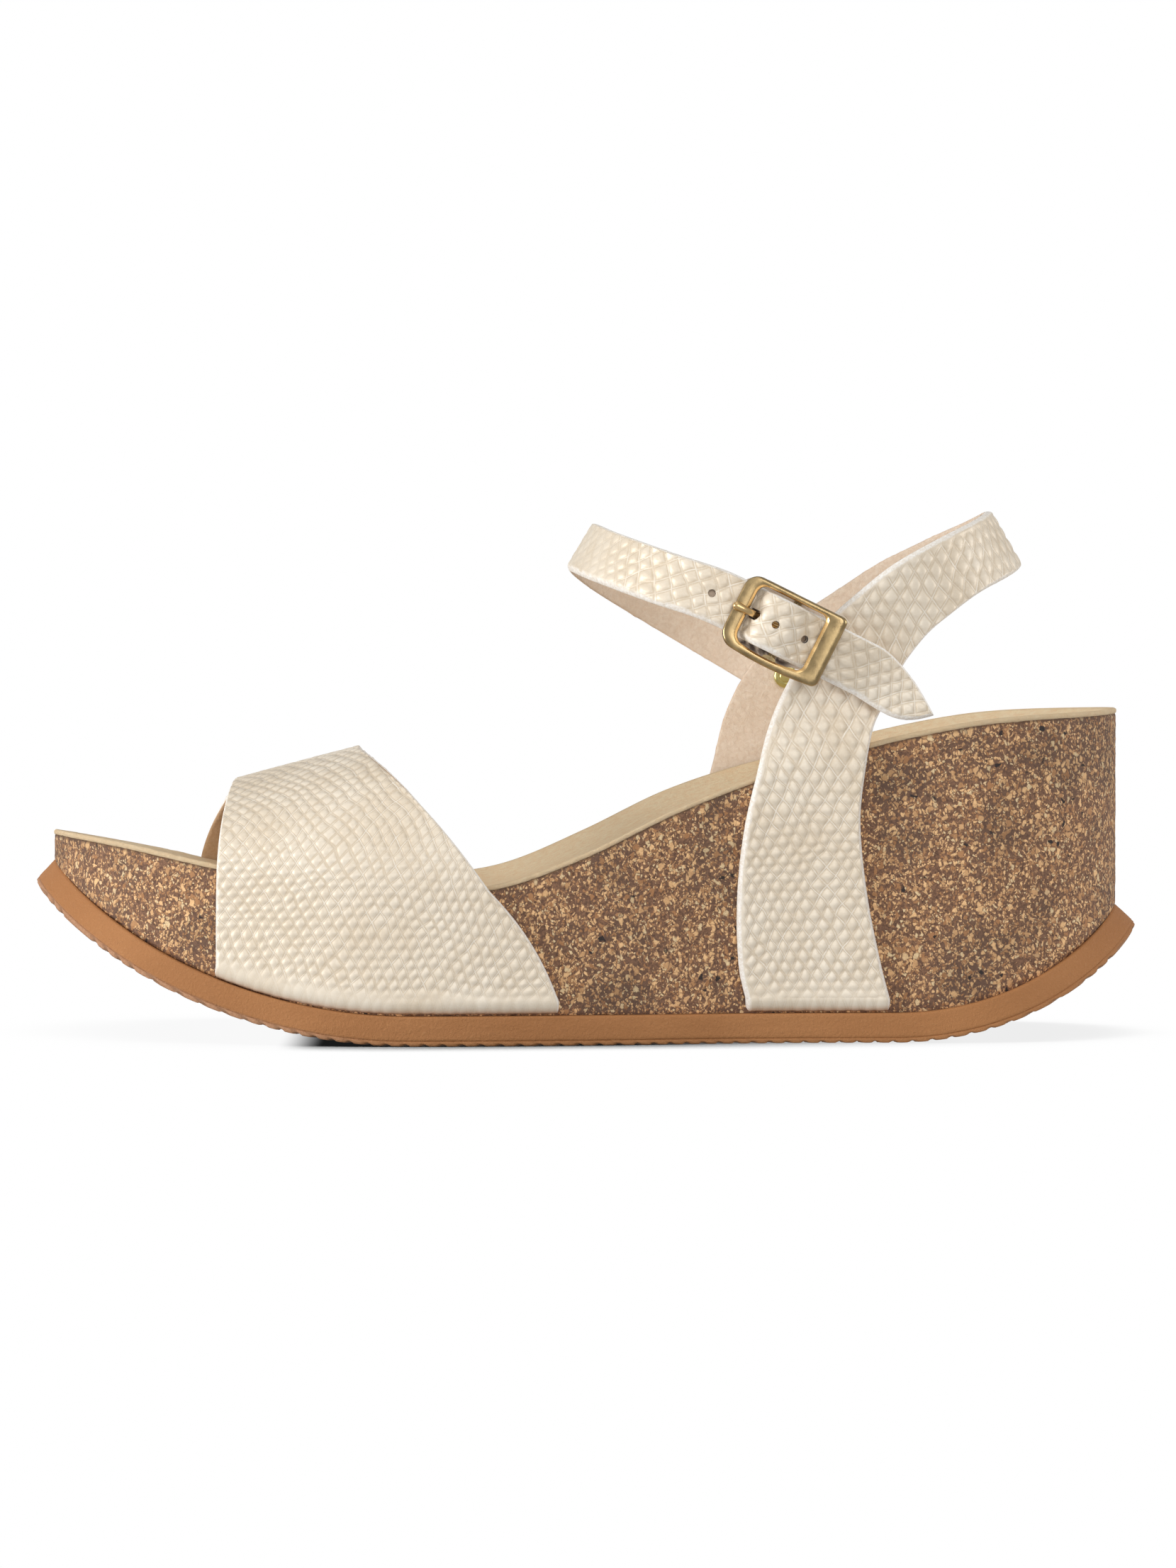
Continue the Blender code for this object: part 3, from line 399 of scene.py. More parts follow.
class Look:
    """A node material: add() makes a node and returns one output, the first unless told."""

    def __init__(self, name):
        self.material = bpy.data.materials.new(name)
        self.material.use_nodes = True
        self.tree = self.material.node_tree
        self.shader = self.tree.nodes["Principled BSDF"]

    def add(self, kind, output=0, settings=None, **inputs):
        node = self.tree.nodes.new("ShaderNode" + kind)
        for key, value in (settings or {}).items():
            setattr(node, key, value)
        for key, value in inputs.items():
            self.link(node, key.replace("_", " "), value)
        return node.outputs[output]

    def link(self, node, socket, value):
        """Feeds an input, which is named, or numbered as in i0 or i1, from a value or an output."""
        numbered = socket[0] == "i" and socket[1:].isdigit()
        target = node.inputs[int(socket[1:]) if numbered else socket]
        if isinstance(value, bpy.types.NodeSocket):
            self.tree.links.new(value, target)
        elif isinstance(value, tuple) and len(value) == 3 and target.type == "RGBA":
            target.default_value = (*value, 1.0)
        else:
            target.default_value = value

    def set(self, **inputs):
        for key, value in inputs.items():
            self.link(self.shader, key.replace("_", " "), value)

    def mark(self, name):
        return self.add("Attribute", output=2, settings={"attribute_name": name})

    def noise(self, scale, detail=2.0, roughness=0.5, vector=None, output=0, distortion=0.0):
        inputs = {"Scale": scale, "Detail": detail, "Roughness": roughness, "Distortion": distortion}
        inputs["Vector"] = vector or self.here()
        return self.add("TexNoise", output=output, **inputs)

    def here(self):
        return self.add("TexCoord", output=3)

    def maths(self, operation, a, b=0.0, clamp=False):
        return self.add("Math", settings={"operation": operation, "use_clamp": clamp}, i0=a, i1=b)

    def vector(self, operation, a, b):
        return self.add("VectorMath", settings={"operation": operation}, i0=a, i1=b)

    def choose(self, share, a, b):
        """The number a where share is 0 and b where it is 1."""
        return self.add("Mix", settings={"data_type": "FLOAT"}, i0=share, i2=a, i3=b)

    def blend(self, share, a, b, kind="MIX"):
        """The colour a where share is 0 and b where it is 1."""
        settings = {"data_type": "RGBA", "blend_type": kind}
        return self.add("Mix", output=2, settings=settings, i0=share, i6=a, i7=b)

    def band(self, value, low, high, start=0.0, end=1.0):
        """The number start where value is low, going smoothly to end where it is high."""
        limits = {"From_Min": low, "From_Max": high, "To_Min": start, "To_Max": end}
        settings = {"interpolation_type": "SMOOTHSTEP"}
        return self.add("MapRange", settings=settings, Value=value, **limits)

    def bump(self, height, distance, strength):
        return self.add("Bump", Height=height, Distance=distance, Strength=strength)


def scale_nodes(look, a, b):
    """The net of scales as nodes: (distance from the net, random tint of each scale)."""
    whole = [look.maths("ROUND", value) for value in (a, b)]
    across, along = (look.maths("ABSOLUTE", look.maths("SUBTRACT", v, w)) for v, w in zip((a, b), whole))
    share = look.maths("ADD", across, along)
    other = look.maths("GREATER_THAN", share, 0.5)
    border = look.maths("ABSOLUTE", look.maths("SUBTRACT", share, 0.5))
    border = look.maths("DIVIDE", border, NET_SLOPE)
    moved = [look.maths("FLOOR", value) for value in (a, b)]
    corner = [look.choose(other, w, m) for w, m in zip(whole, moved)]
    point = look.add("CombineXYZ", X=corner[0], Y=corner[1], Z=other)
    return border, look.add("TexWhiteNoise", Vector=point)


def leather_look():
    look = Look("pearl lizard leather")
    cut, cell_a, cell_b, shown = (look.mark(name) for name in ("cut", "cell_a", "cell_b", "print"))
    border, tint = scale_nodes(look, cell_a, cell_b)
    pearl, tan, valley = (0.84, 0.745, 0.61), (0.66, 0.53, 0.37), (0.61, 0.49, 0.34)
    cloud = look.noise(60.0, 3.0)
    base = look.blend(look.band(cloud, 0.35, 0.75, 0.0, 0.55), pearl, tan)
    base = look.blend(look.maths("MULTIPLY", tint, 0.22), base, tan)
    groove = look.maths("MULTIPLY", look.band(border, 0.16, 0.05, 0.0, 0.8), shown)
    base = look.blend(groove, base, valley)
    # Painted highlight: the net's ridge lines are painted lighter, broken up by noise.
    ridge_highlight_strength = look.band(look.noise(230.0, 2.0), 0.35, 0.65, 0.15, 0.75)
    line = look.maths("MULTIPLY", look.band(border, 0.06, 0.005), look.maths("MULTIPLY", ridge_highlight_strength, shown))
    base = look.blend(line, base, (0.93, 0.87, 0.77))
    speckle = look.noise(2600.0, 2.0)
    base = look.blend(look.band(speckle, 0.35, 0.75, 0.0, 0.12), base, (0.95, 0.92, 0.86))
    fibre = look.noise(1500.0, 4.0, 0.7)
    raw = look.blend(look.band(fibre, 0.35, 0.65), (0.93, 0.90, 0.85), (0.78, 0.71, 0.62))
    colour = look.blend(cut, base, raw)
    pores = look.noise(3200.0, 2.0)
    height = look.maths("ADD", look.maths("MULTIPLY", pores, 0.22), look.maths("MULTIPLY", fibre, cut))
    height = look.maths("ADD", height, look.maths("MULTIPLY", line, 0.55))
    look.set(
        Base_Color=colour,
        Roughness=look.band(cut, 0.0, 1.0, 0.47, 0.9),
        Metallic=look.band(cut, 0.0, 1.0, 0.15, 0.0),
        Normal=look.bump(height, 0.00012, 0.6),
        Coat_Weight=look.band(cut, 0.0, 1.0, 0.12, 0.0),
        Coat_Roughness=0.36,
    )
    return look.material


def felt_look(name, low, high, edge_colour):
    look = Look(name)
    edge = look.mark("edge")
    fibre = look.noise(900.0, 6.0, 0.75, distortion=0.6)
    patch = look.noise(120.0, 3.0)
    colour = look.blend(look.band(fibre, 0.3, 0.7), low, high)
    colour = look.blend(look.band(patch, 0.35, 0.75, 0.0, 0.35), colour, low)
    colour = look.blend(look.band(edge, 0.45, 0.0, 0.0, 0.5), colour, edge_colour)
    # Painted shade: the guard's pad goes near black where it lies under the buckle's lower side.
    colour = look.blend(look.mark("painted_shade"), colour, (0.07, 0.04, 0.025))
    look.set(
        Base_Color=colour, Roughness=0.95, Normal=look.bump(fibre, 0.0004, 0.8),
        Sheen_Weight=0.35, Sheen_Roughness=0.6,
    )
    return look.material


def suede_look():
    look = Look("tan suede")
    nap = look.noise(1300.0, 6.0, 0.8, distortion=0.4)
    grain = look.noise(520.0, 4.0, 0.75)
    patch = look.noise(40.0, 3.0)
    edge = look.mark("edge")
    colour = look.blend(look.band(grain, 0.3, 0.7), (0.92, 0.64, 0.36), (1.0, 0.82, 0.55))
    colour = look.blend(look.band(nap, 0.35, 0.7, 0.0, 0.5), colour, (0.98, 0.82, 0.56))
    colour = look.blend(look.band(patch, 0.3, 0.75, 0.0, 0.2), colour, (0.78, 0.55, 0.31))
    colour = look.blend(look.band(edge, 0.9, 0.1, 0.0, 0.6), colour, (0.70, 0.52, 0.32))
    height = look.maths("ADD", nap, grain)
    look.set(Base_Color=colour, Roughness=0.95, Normal=look.bump(height, 0.0006, 0.9))
    return look.material


def granules(look, vector, size, share, seed):
    """One set of cork granules: which cells are light, and two random numbers for each cell."""
    shifted = look.vector("ADD", vector, (seed, 0.37 * seed, 0.11 * seed))
    inputs = {"Vector": shifted, "Scale": 1.0 / (MM * size)}
    cells = look.add("TexVoronoi", output=1, settings={"feature": "F1"}, **inputs)
    rim = look.add("TexVoronoi", settings={"feature": "DISTANCE_TO_EDGE"}, **inputs)
    red, green, blue = (look.add("SeparateColor", output=k, Color=cells) for k in range(3))
    chosen = look.maths("LESS_THAN", red, share)
    return look.maths("MULTIPLY", chosen, look.band(rim, 0.0, 0.2)), green, blue


GRANULES = ((0.48, 0.42, 1.0), (0.75, 0.27, 2.0), (1.15, 0.15, 3.0))  # (size, share, seed)
WOBBLE = 0.0017  # how far the outlines of the granules wander, in metres


def cork_look():
    look = Look("pressed cork")
    here = look.here()
    wobble = look.noise(420.0, 3.0, 0.6, vector=here, output=1)
    drift = look.vector("MULTIPLY", look.vector("SUBTRACT", wobble, (0.5,) * 3), (WOBBLE,) * 3)
    vector = look.vector("ADD", here, drift)
    flattened = look.vector("MULTIPLY", vector, (1.0, 1.0, 0.8))
    fine = look.noise(1700.0, 5.0, 0.75)
    broad = look.noise(70.0, 3.0)
    colour = look.blend(look.band(fine, 0.3, 0.7), (0.085, 0.040, 0.025), (0.30, 0.155, 0.085))
    colour = look.blend(look.band(broad, 0.4, 0.7, 0.0, 0.6), colour, (0.17, 0.098, 0.068))
    height = look.maths("MULTIPLY", fine, 0.5)
    for size, share, seed in GRANULES:
        light, tint, pale = granules(look, flattened, size, share, seed)
        wood = look.blend(look.band(tint, 0.1, 0.9), (0.42, 0.20, 0.085), (0.98, 0.61, 0.30))
        wood = look.blend(look.band(pale, 0.86, 0.9), wood, (0.88, 0.66, 0.38))
        grain = look.blend(look.band(fine, 0.35, 0.65), wood, (0.40, 0.205, 0.09))
        colour = look.blend(light, colour, look.blend(0.65, grain, wood))
        height = look.maths("ADD", height, look.maths("MULTIPLY", light, 0.35))
    shade = look.band(broad, 0.45, 0.7, 1.0, 0.72)
    grey = look.add("CombineColor", Red=shade, Green=shade, Blue=shade)
    colour = look.blend(1.0, colour, grey, "MULTIPLY")
    black, _, _ = granules(look, vector, 1.2, 0.010, 8.0)
    colour = look.blend(black, colour, (0.03, 0.02, 0.018))
    below_rim = look.mark("rim")
    colour = look.blend(look.band(below_rim, 0.9, 0.1, 0.0, 0.7), colour, (0.10, 0.055, 0.03))
    look.set(Base_Color=colour, Roughness=0.82, Normal=look.bump(height, 0.00025, 0.7))
    return look.material


def rubber_look():
    look = Look("caramel foam rubber")
    pebble = look.noise(1500.0, 4.0, 0.7)
    speck = look.noise(700.0, 2.0)
    broad = look.noise(30.0, 3.0)
    tread = look.mark("tread")
    colour = look.blend(look.band(broad, 0.35, 0.7), (0.385, 0.160, 0.050), (0.45, 0.195, 0.066))
    colour = look.blend(look.band(pebble, 0.55, 0.8, 0.0, 0.4), colour, (0.60, 0.32, 0.14))
    colour = look.blend(look.band(speck, 0.62, 0.72, 0.0, 0.4), colour, (0.36, 0.15, 0.05))
    under = look.blend(look.band(pebble, 0.3, 0.7), (0.41, 0.20, 0.10), (0.50, 0.27, 0.15))
    # Painted shade: the tread darkens along its grooves; the seam line under the band is darkened as well.
    under = look.blend(look.maths("MULTIPLY", look.mark("groove"), 0.6), under, (0.24, 0.12, 0.06))
    colour = look.blend(tread, colour, under)
    look.set(Base_Color=colour, Roughness=0.75, Normal=look.bump(pebble, 0.0004, 0.8))
    return look.material


def brass_look(name, low, high, bright):
    look = Look(name)
    cloud = look.noise(240.0, 4.0, 0.6)
    fine = look.noise(2400.0, 3.0)
    worn = look.mark("worn")
    colour = look.blend(look.band(cloud, 0.3, 0.7), low, high)
    colour = look.blend(look.maths("POWER", worn, 1.5), colour, bright)
    polish = look.maths("MULTIPLY", worn, -0.08)
    roughness = look.maths("ADD", look.band(cloud, 0.2, 0.8, 0.26, 0.42), polish)
    bump = look.bump(fine, 0.00003, 0.5)
    look.set(Base_Color=colour, Metallic=1.0, Roughness=roughness, Normal=bump)
    return look.material


# ---------------------------------------------------------------- sole


OUTLINE_X = (TOE_X, -90, -50, 0, 40, 85, HEEL_X)
RIM_X = (TOE_X, -105, -84, -62, -40, -20, 0, 20, 40, 66, 90, HEEL_X)
RIM_Z = (48.6, 44.8, 40.1, 36.6, 34.6, 35.8, 42.7, 52.3, 60.2, 68.0, 72.9, 75.3)
BED_X = (TOE_X, -100, -60, -20, 20, 60, 90, 110, HEEL_X)
outline_centre = curve_through(OUTLINE_X, (8.0, 3.6, -0.5, -3.5, -2.0, 0.0, 1.0))
outline_half = curve_through(OUTLINE_X, (40.0, 41.0, 44.5, 38.5, 33.2, 33.0, 33.0))
rim_height = curve_through(RIM_X, RIM_Z)
bed_depth = curve_through(BED_X, (0, 1.6, 2.6, 3.0, 3.4, 4.6, 5.6, 3.6, 0))
END_SQUARENESS = 2.1  # 2 would make the toe and heel half ellipses
BED_SQUARENESS = 2.5


def end_rounding(x):
    """Share of the full half width that the outline has at x."""
    share = 1.0
    for distance, reach in ((x - TOE_X, TOE_ROUND), (HEEL_X - x, HEEL_ROUND)):
        short = 1 - np.clip(distance / reach, 0.0, 1.0)
        share = share * np.sqrt(np.maximum(1 - short**END_SQUARENESS, 0.0))
    return share


def side_y(x, side, grow=0.0):
    return outline_centre(x) + side * ((outline_half(x) + grow) * end_rounding(x))


def beside_outline(x, side, out):
    """The y of a point that stands out from the side of the cork, square to it."""
    slope = side_y(x + 0.5, side) - side_y(x - 0.5, side)
    return side_y(x, side) + side * out * np.sqrt(1 + slope**2)


def sole_top(x):
    toe = TOE_BEND_RADIUS - np.sqrt(TOE_BEND_RADIUS**2 - np.minimum(x - TOE_BEND_X, 0) ** 2)
    heel = HEEL_BEND_RADIUS - np.sqrt(HEEL_BEND_RADIUS**2 - np.maximum(x - HEEL_BEND_X, 0) ** 2)
    return SOLE_THICK + toe + heel


def sole_down(x):
    """The direction square to the sole, downwards."""
    lean = np.minimum(x - TOE_BEND_X, 0) / TOE_BEND_RADIUS
    lean = lean + np.maximum(x - HEEL_BEND_X, 0) / HEEL_BEND_RADIUS
    return np.stack([lean, np.zeros_like(lean), -np.sqrt(1 - lean**2)], axis=-1)


def toe_drop(x, y):
    """The toe of the bed leans down towards the medial side."""
    return TOE_LEAN * (y - TOE_LEAN_Y) * (1 - smoothstep(x, TOE_LEAN_FULL_X, TOE_LEAN_END_X))


def rim_z(x, side):
    reach = np.minimum(np.abs((x - ARCH_X) / ARCH_REACH), 1.0)
    arch = np.maximum(side, 0) * ARCH_RISE * (1 - reach**2) ** 2
    return rim_height(x) + arch - toe_drop(x, side_y(x, side))


def bed_z(x, y):
    """Height of the dished top of the cork."""
    half = np.maximum(outline_half(x) * end_rounding(x), 1e-3)
    v = np.clip((y - outline_centre(x)) / half, -1, 1)
    rim = mix(rim_z(x, -1), rim_z(x, 1), (v + 1) / 2)
    return rim - bed_depth(x) * (1 - np.abs(v) ** BED_SQUARENESS)


def outline_loop(count, grow=0.0):
    """(x, y) of points evenly round the outline, heelwards first on the lateral side."""
    x = mix(TOE_X, HEEL_X, (1 - np.cos(np.linspace(0, math.pi, 600))) / 2)
    xs = np.concatenate([x, x[-2:0:-1]])
    sides = np.concatenate([np.full(len(x), -1.0), np.full(len(x) - 2, 1.0)])
    ys = outline_centre(xs) + sides * (outline_half(xs) + grow) * end_rounding(xs)
    loop = np.stack([np.append(xs, xs[0]), np.append(ys, ys[0])], axis=1)
    lengths = np.concatenate([[0], np.cumsum(np.linalg.norm(np.diff(loop, axis=0), axis=1))])
    at = np.linspace(0, lengths[-1], count, endpoint=False)
    return np.interp(at, lengths, loop[:, 0]), np.interp(at, lengths, loop[:, 1])


SPINE = 62.0  # half length of the line that the sole's inner rings shrink on to


def ring_at(x, y, share):
    """The outline shrunk towards a line along the middle of the sole."""
    target = np.clip(x, -SPINE, SPINE)
    return mix(target, x, share), mix(outline_centre(target), y, share)


def shrunk(x, y, share, height_of):
    """A ring of points of the shrunk outline, at the heights that height_of gives."""
    x, y = ring_at(x, y, share)
    return np.stack([x, y, height_of(x, y)], axis=1)


def normals_2d(x, y):
    """Outward directions, in plan, round a closed loop that runs heelwards on the lateral side."""
    dx = np.roll(x, -1) - np.roll(x, 1)
    dy = np.roll(y, -1) - np.roll(y, 1)
    length = np.hypot(dx, dy)
    return np.stack([dy / length, -dx / length, np.zeros_like(x)], axis=1)


def ringed_object(name, rings, marks, look, slot, node):
    """A closed skin through rings of points; the first and the last ring close on a line."""
    count = len(rings[0])
    faces = grid_faces(len(rings), count, closed=True)
    for start in (0, (len(rings) - 1) * count):
        for i in range(count // 2 - 1):
            faces.append((start + i, start + i + 1, start + count - 2 - i, start + count - 1 - i))
    marks = {mark: np.ravel(values) for mark, values in marks.items()}
    obj = new_object(name, np.reshape(rings, (-1, 3)), faces, look, marks)
    place(obj, "sandal", slot, node)


def build_sole(looks):
    build_outsole(looks["rubber"])
    build_cork(looks["cork"])
    build_cover(looks["suede"])


BAND_HEIGHT = 5.5  # plain side of the outsole, above its tread
TREAD_DEPTH = 1.1
TREAD_PITCH, ZIGZAG_PITCH, ZIGZAG_REACH = 4.2, 17.0, 2.4
SIDE_TREAD_DEPTH = 0.38  # share of the depth that the grooves have at the sole's edge
LIP_ROUND, LIP_SET_BACK = 0.15, 0.3
ROUND_STEP = 0.52  # distance between the points round the outsole


def tread_wave(x, y, lean=0.0):
    """0 on the tread's lands to 1 along its grooves, which run in zigzags across the sole."""
    zigzag = np.abs((y / ZIGZAG_PITCH) % 1.0 - 0.5) * ZIGZAG_REACH
    wave = 0.5 + 0.5 * np.cos(2 * math.pi * (x / TREAD_PITCH + zigzag + lean))
    return smoothstep(wave, 0.35, 1.0)


def build_outsole(look):
    x, y = outline_loop(1200, SOLE_FLANGE)
    down, outward = sole_down(x), normals_2d(x, y)
    run = np.arange(len(x)) * ROUND_STEP
    toe = 1 - smoothstep(x, -75, -35)
    side_tread = 0.1 + 0.9 * toe
    edge = shrunk(x, y, 1.0, lambda x, y: sole_top(x))
    rings, treads, grooves = [], [], []

    def ring(points, tread=0.0, groove=0.0):
        rings.append(points)
        treads.append(np.full(len(x), tread))
        grooves.append(np.full(len(x), groove))

    for share in np.linspace(0.0, 1.0, 10)[:-1]:
        ring(shrunk(x, y, share, lambda x, y: sole_top(x)))
    for depth, back in ((0.0, 0.35), (0.1, 0.1), (0.35, 0.0)):
        ring(edge + depth * down - back * outward)
    for depth in np.linspace(0.7, BAND_HEIGHT - 0.2, 11):
        wave = 0.05 * lattice_noise(run / 6, np.full(len(x), depth), 3)
        wave += 0.02 * lattice_noise(run / 1.1, np.full(len(x), 3 * depth), 4)
        ring(edge + depth * down + wave[:, None] * outward)
    for depth, back in ((BAND_HEIGHT, 0.1), (BAND_HEIGHT + LIP_ROUND, LIP_SET_BACK)):
        ring(edge + depth * down - back * outward, 0.5 * side_tread, 0.5)
    for share in np.linspace(0.15, 1.0, 5):
        depth = mix(BAND_HEIGHT + LIP_ROUND, SOLE_THICK, share)
        wave = tread_wave(x, y, 0.3 * (1 - share))
        back = 0.1 + (0.10 + 0.14 * toe) * wave + LIP_SET_BACK * max(share - 0.7, 0) / 0.3
        lift = TREAD_DEPTH * SIDE_TREAD_DEPTH * wave * smoothstep(share, 0.3, 1.0)
        ring(edge + (depth - lift)[:, None] * down - back[:, None] * outward, side_tread, wave)
    lip_x, lip_y = x - 0.75 * outward[:, 0], y - 0.75 * outward[:, 1]
    for share in np.concatenate([np.linspace(1.0, 0.9, 12), np.linspace(0.9, 0.0, 46)[1:]]):
        level = shrunk(lip_x, lip_y, share, lambda x, y: sole_top(x))
        wave = tread_wave(level[:, 0], level[:, 1])
        deep = TREAD_DEPTH * mix(SIDE_TREAD_DEPTH, 1.0, min((1 - share) * 12, 1.0))
        ring(level + (SOLE_THICK - deep * wave)[:, None] * sole_down(level[:, 0]), 1.0, wave)
    # The groove mark carries painted shade along the tread's grooves, and darkens the seam under the band.
    marks = {"tread": treads, "groove": grooves}
    ringed_object("outsole_rippled", rings, marks, look, "outsole_rubber", "outsole")


CORK_LIFT = 0.06  # hair gap between the cork and the outsole


def build_cork(look):
    x, y = outline_loop(900)
    side = np.where(y > outline_centre(x), 1.0, -1.0)
    outward = normals_2d(x, y)
    low, high = sole_top(x) + CORK_LIFT, rim_z(x, side)
    run = np.arange(len(x)) * 0.72
    rings, rims = [], []
    for share in np.linspace(0.0, 1.0, 12)[:-1]:
        rings.append(shrunk(x, y, share, lambda x, y: sole_top(x) + CORK_LIFT))
        rims.append(np.full(len(x), 9.0))
    for share in np.concatenate([[0, 0.01, 0.02], np.linspace(0.04, 0.96, 70), [0.98, 0.99, 1.0]]):
        z = mix(low, high, share)
        grit = 0.07 * lattice_noise(run / 0.9, z / 0.9, 5) + 0.05 * lattice_noise(run / 2.6, z / 2.6, 6)
        crumbs = 0.3 * smoothstep(lattice_noise(run / 1.7, z / 1.7, 9), 0.72, 0.95)
        back = 0.25 * (smoothstep(share, 0.985, 1.0) + smoothstep(share, 0.015, 0.0))
        rings.append(np.stack([x, y, z], axis=1) + (grit - crumbs - back)[:, None] * outward)
        rims.append(high - z)
    for share in np.linspace(1.0, 0.0, 14)[1:]:
        rings.append(shrunk(x - 0.3 * outward[:, 0], y - 0.3 * outward[:, 1], share, bed_z))
        rims.append(np.zeros(len(x)))
    ringed_object("cork_wedge_body", rings, {"rim": rims}, look, "cork", "cork_wedge")


# Cut edge of the footbed cover: (height above the cork, distance outwards)
COVER_EDGE = ((0.05, -0.1), (0.3, 0.05), (0.7, 0.08), (1.0, 0.0), (1.22, -0.3))


def build_cover(look):
    x, y = outline_loop(700)
    outward = normals_2d(x, y)
    run = np.arange(len(x)) * 0.93
    fringe = 0.16 * fractal(run / 1.6, 0 * run, 41)
    rings, edges = [], []
    for share in np.linspace(0.0, 1.0, 14)[:-1]:
        rings.append(shrunk(x, y, share, lambda x, y: bed_z(x, y) + COVER_EDGE[0][0]))
        edges.append(np.full(len(x), 5.0))
    rim = shrunk(x, y, 1.0, bed_z)
    for level, out in COVER_EDGE:
        rings.append(rim + (out + fringe)[:, None] * outward + (0, 0, level))
        edges.append(np.zeros(len(x)))

    def napped(x, y):
        nap = 0.05 * fractal(x / 1.3, y / 1.3, 12) + 0.12 * fractal(x / 14, y / 14, 15)
        return bed_z(x, y) + GAP + COVER_THICK + nap

    for share in np.linspace(1.0, 0.0, 70)[1:]:
        rings.append(shrunk(x - 0.4 * outward[:, 0], y - 0.4 * outward[:, 1], share, napped))
        edges.append(np.full(len(x), (1 - share) * 40))
    ringed_object("footbed_suede", rings, {"edge": edges}, look, "suede", "footbed_cover")


# ---------------------------------------------------------------- strap feet and vamp


FOOT_ROWS = 11  # rows of a foot grid that lie under the cork and in its bend


def foot_rows(xs_of, side, wall_z, walls):
    """Rows of a strap's inner face from its margin under the cork, round the bend and up."""
    steps = [(MARGIN * (1 - k / 6), 0.0, 0.0) for k in range(6)]
    steps += [(0.0, angle, 0.0) for angle in np.linspace(0, math.pi / 2, 6)]
    steps += [(0.0, math.pi / 2, share) for share in walls]
    rows = []
    for inward, angle, share in steps:
        x = xs_of(share)
        base = sole_top(x) + GAP + STACK + MARGIN_BEND
        out = WALL_GAP - MARGIN_BEND + MARGIN_BEND * math.sin(angle) - inward
        z = mix(base - MARGIN_BEND * math.cos(angle), wall_z(x), share)
        rows.append(np.stack([x, beside_outline(x, side, out), z], axis=1))
    return rows


def vamp_front(rise, side):
    """The x of the vamp's front edge, at a share of the height from the sole to its crown."""
    if side < 0:
        return VAMP_FRONT_LATERAL_X + 2.1 * rise**3
    return VAMP_FRONT_MEDIAL_X + 1.5 * rise + 10.6 * rise**4


def vamp_rear(rise, side):
    """The x of the vamp's rear edge; its medial side reaches further forwards."""
    lateral = VAMP_REAR_FOOT_X - 22.7 * rise - 23.6 * rise**2
    if side < 0:
        return lateral
    return lateral - VAMP_MEDIAL_LEAD * math.sqrt(max(1 - rise**2, 0.0))


def vamp_half(side, columns=41):
    """Rows of the vamp's inner face, from its foot to the crown."""

    def xs_of(rise):
        return np.linspace(vamp_front(rise, side), vamp_rear(rise, side), columns)

    def at_wall(share):
        return xs_of(VAMP_WALL_SHARE * share)

    rows = foot_rows(at_wall, side, lambda x: rim_z(x, side), np.linspace(0, 1, 17)[1:])
    for angle in np.linspace(0, math.pi / 2, 33)[1:]:
        lift = math.sin(angle) ** VAMP_FULLNESS
        x = xs_of(mix(VAMP_WALL_SHARE, 1.0, lift))
        crown = VAMP_CROWN_Z + VAMP_CROWN_SLOPE * (x - VAMP_CROWN_X) - STACK
        wall = beside_outline(x, side, WALL_GAP)
        spread = max(math.cos(angle), 0.0) ** VAMP_FULLNESS
        y = VAMP_CROWN_Y + (wall - VAMP_CROWN_Y) * spread
        rows.append(np.stack([x, y, mix(rim_z(x, side), crown, lift)], axis=1))
    return rows


def girth_chart(fine):
    """Flat coordinates of a sheet that arches across the foot: (x, length round the foot)."""
    steps = np.hypot(np.diff(fine[..., 1], axis=0), np.diff(fine[..., 2], axis=0))
    run = np.concatenate([np.zeros((1, fine.shape[1])), np.cumsum(steps, axis=0)])
    middle = run[len(run) // 2]
    return fine[..., 0], run - middle


def vamp_chart(fine):
    """The girth chart, with the scales growing towards the crown."""
    u, v = girth_chart(fine)
    grow = 1.25 - 0.25 * smoothstep(np.abs(v), 15, 62)
    return (u + 50.0) / grow, v / grow


def vamp_fade(fine):
    """The print is shallow where the vamp turns in under the cork."""
    return 0.25 + 0.75 * smoothstep(fine[..., 2] - sole_top(fine[..., 0]), 3.5, 7.0)


VAMP_BEVELS, VAMP_PRINT = (0.6, 0.6, 0.75, 0.6), (2.85, -10, 11)


def build_vamp(looks):
    grid = np.array(vamp_half(-1) + vamp_half(1)[-2::-1])
    leather = leather_sheet(
        "vamp_embossed", grid, vamp_chart, VAMP_BEVELS, VAMP_PRINT, looks["leather"], 0.40, vamp_fade
    )
    inner = grid[FOOT_ROWS:-FOOT_ROWS]
    # The vamp's felt takes the lining look, a copy of the felt darkened with painted shade.
    felt = felt_sheet("vamp_felt", inner, girth_chart, 3, looks["lining"], 0.75)
    place(leather, "sandal", "leather", "vamp_leather")
    place(felt, "sandal", "felt", "vamp_lining")


# ---------------------------------------------------------------- heel strap

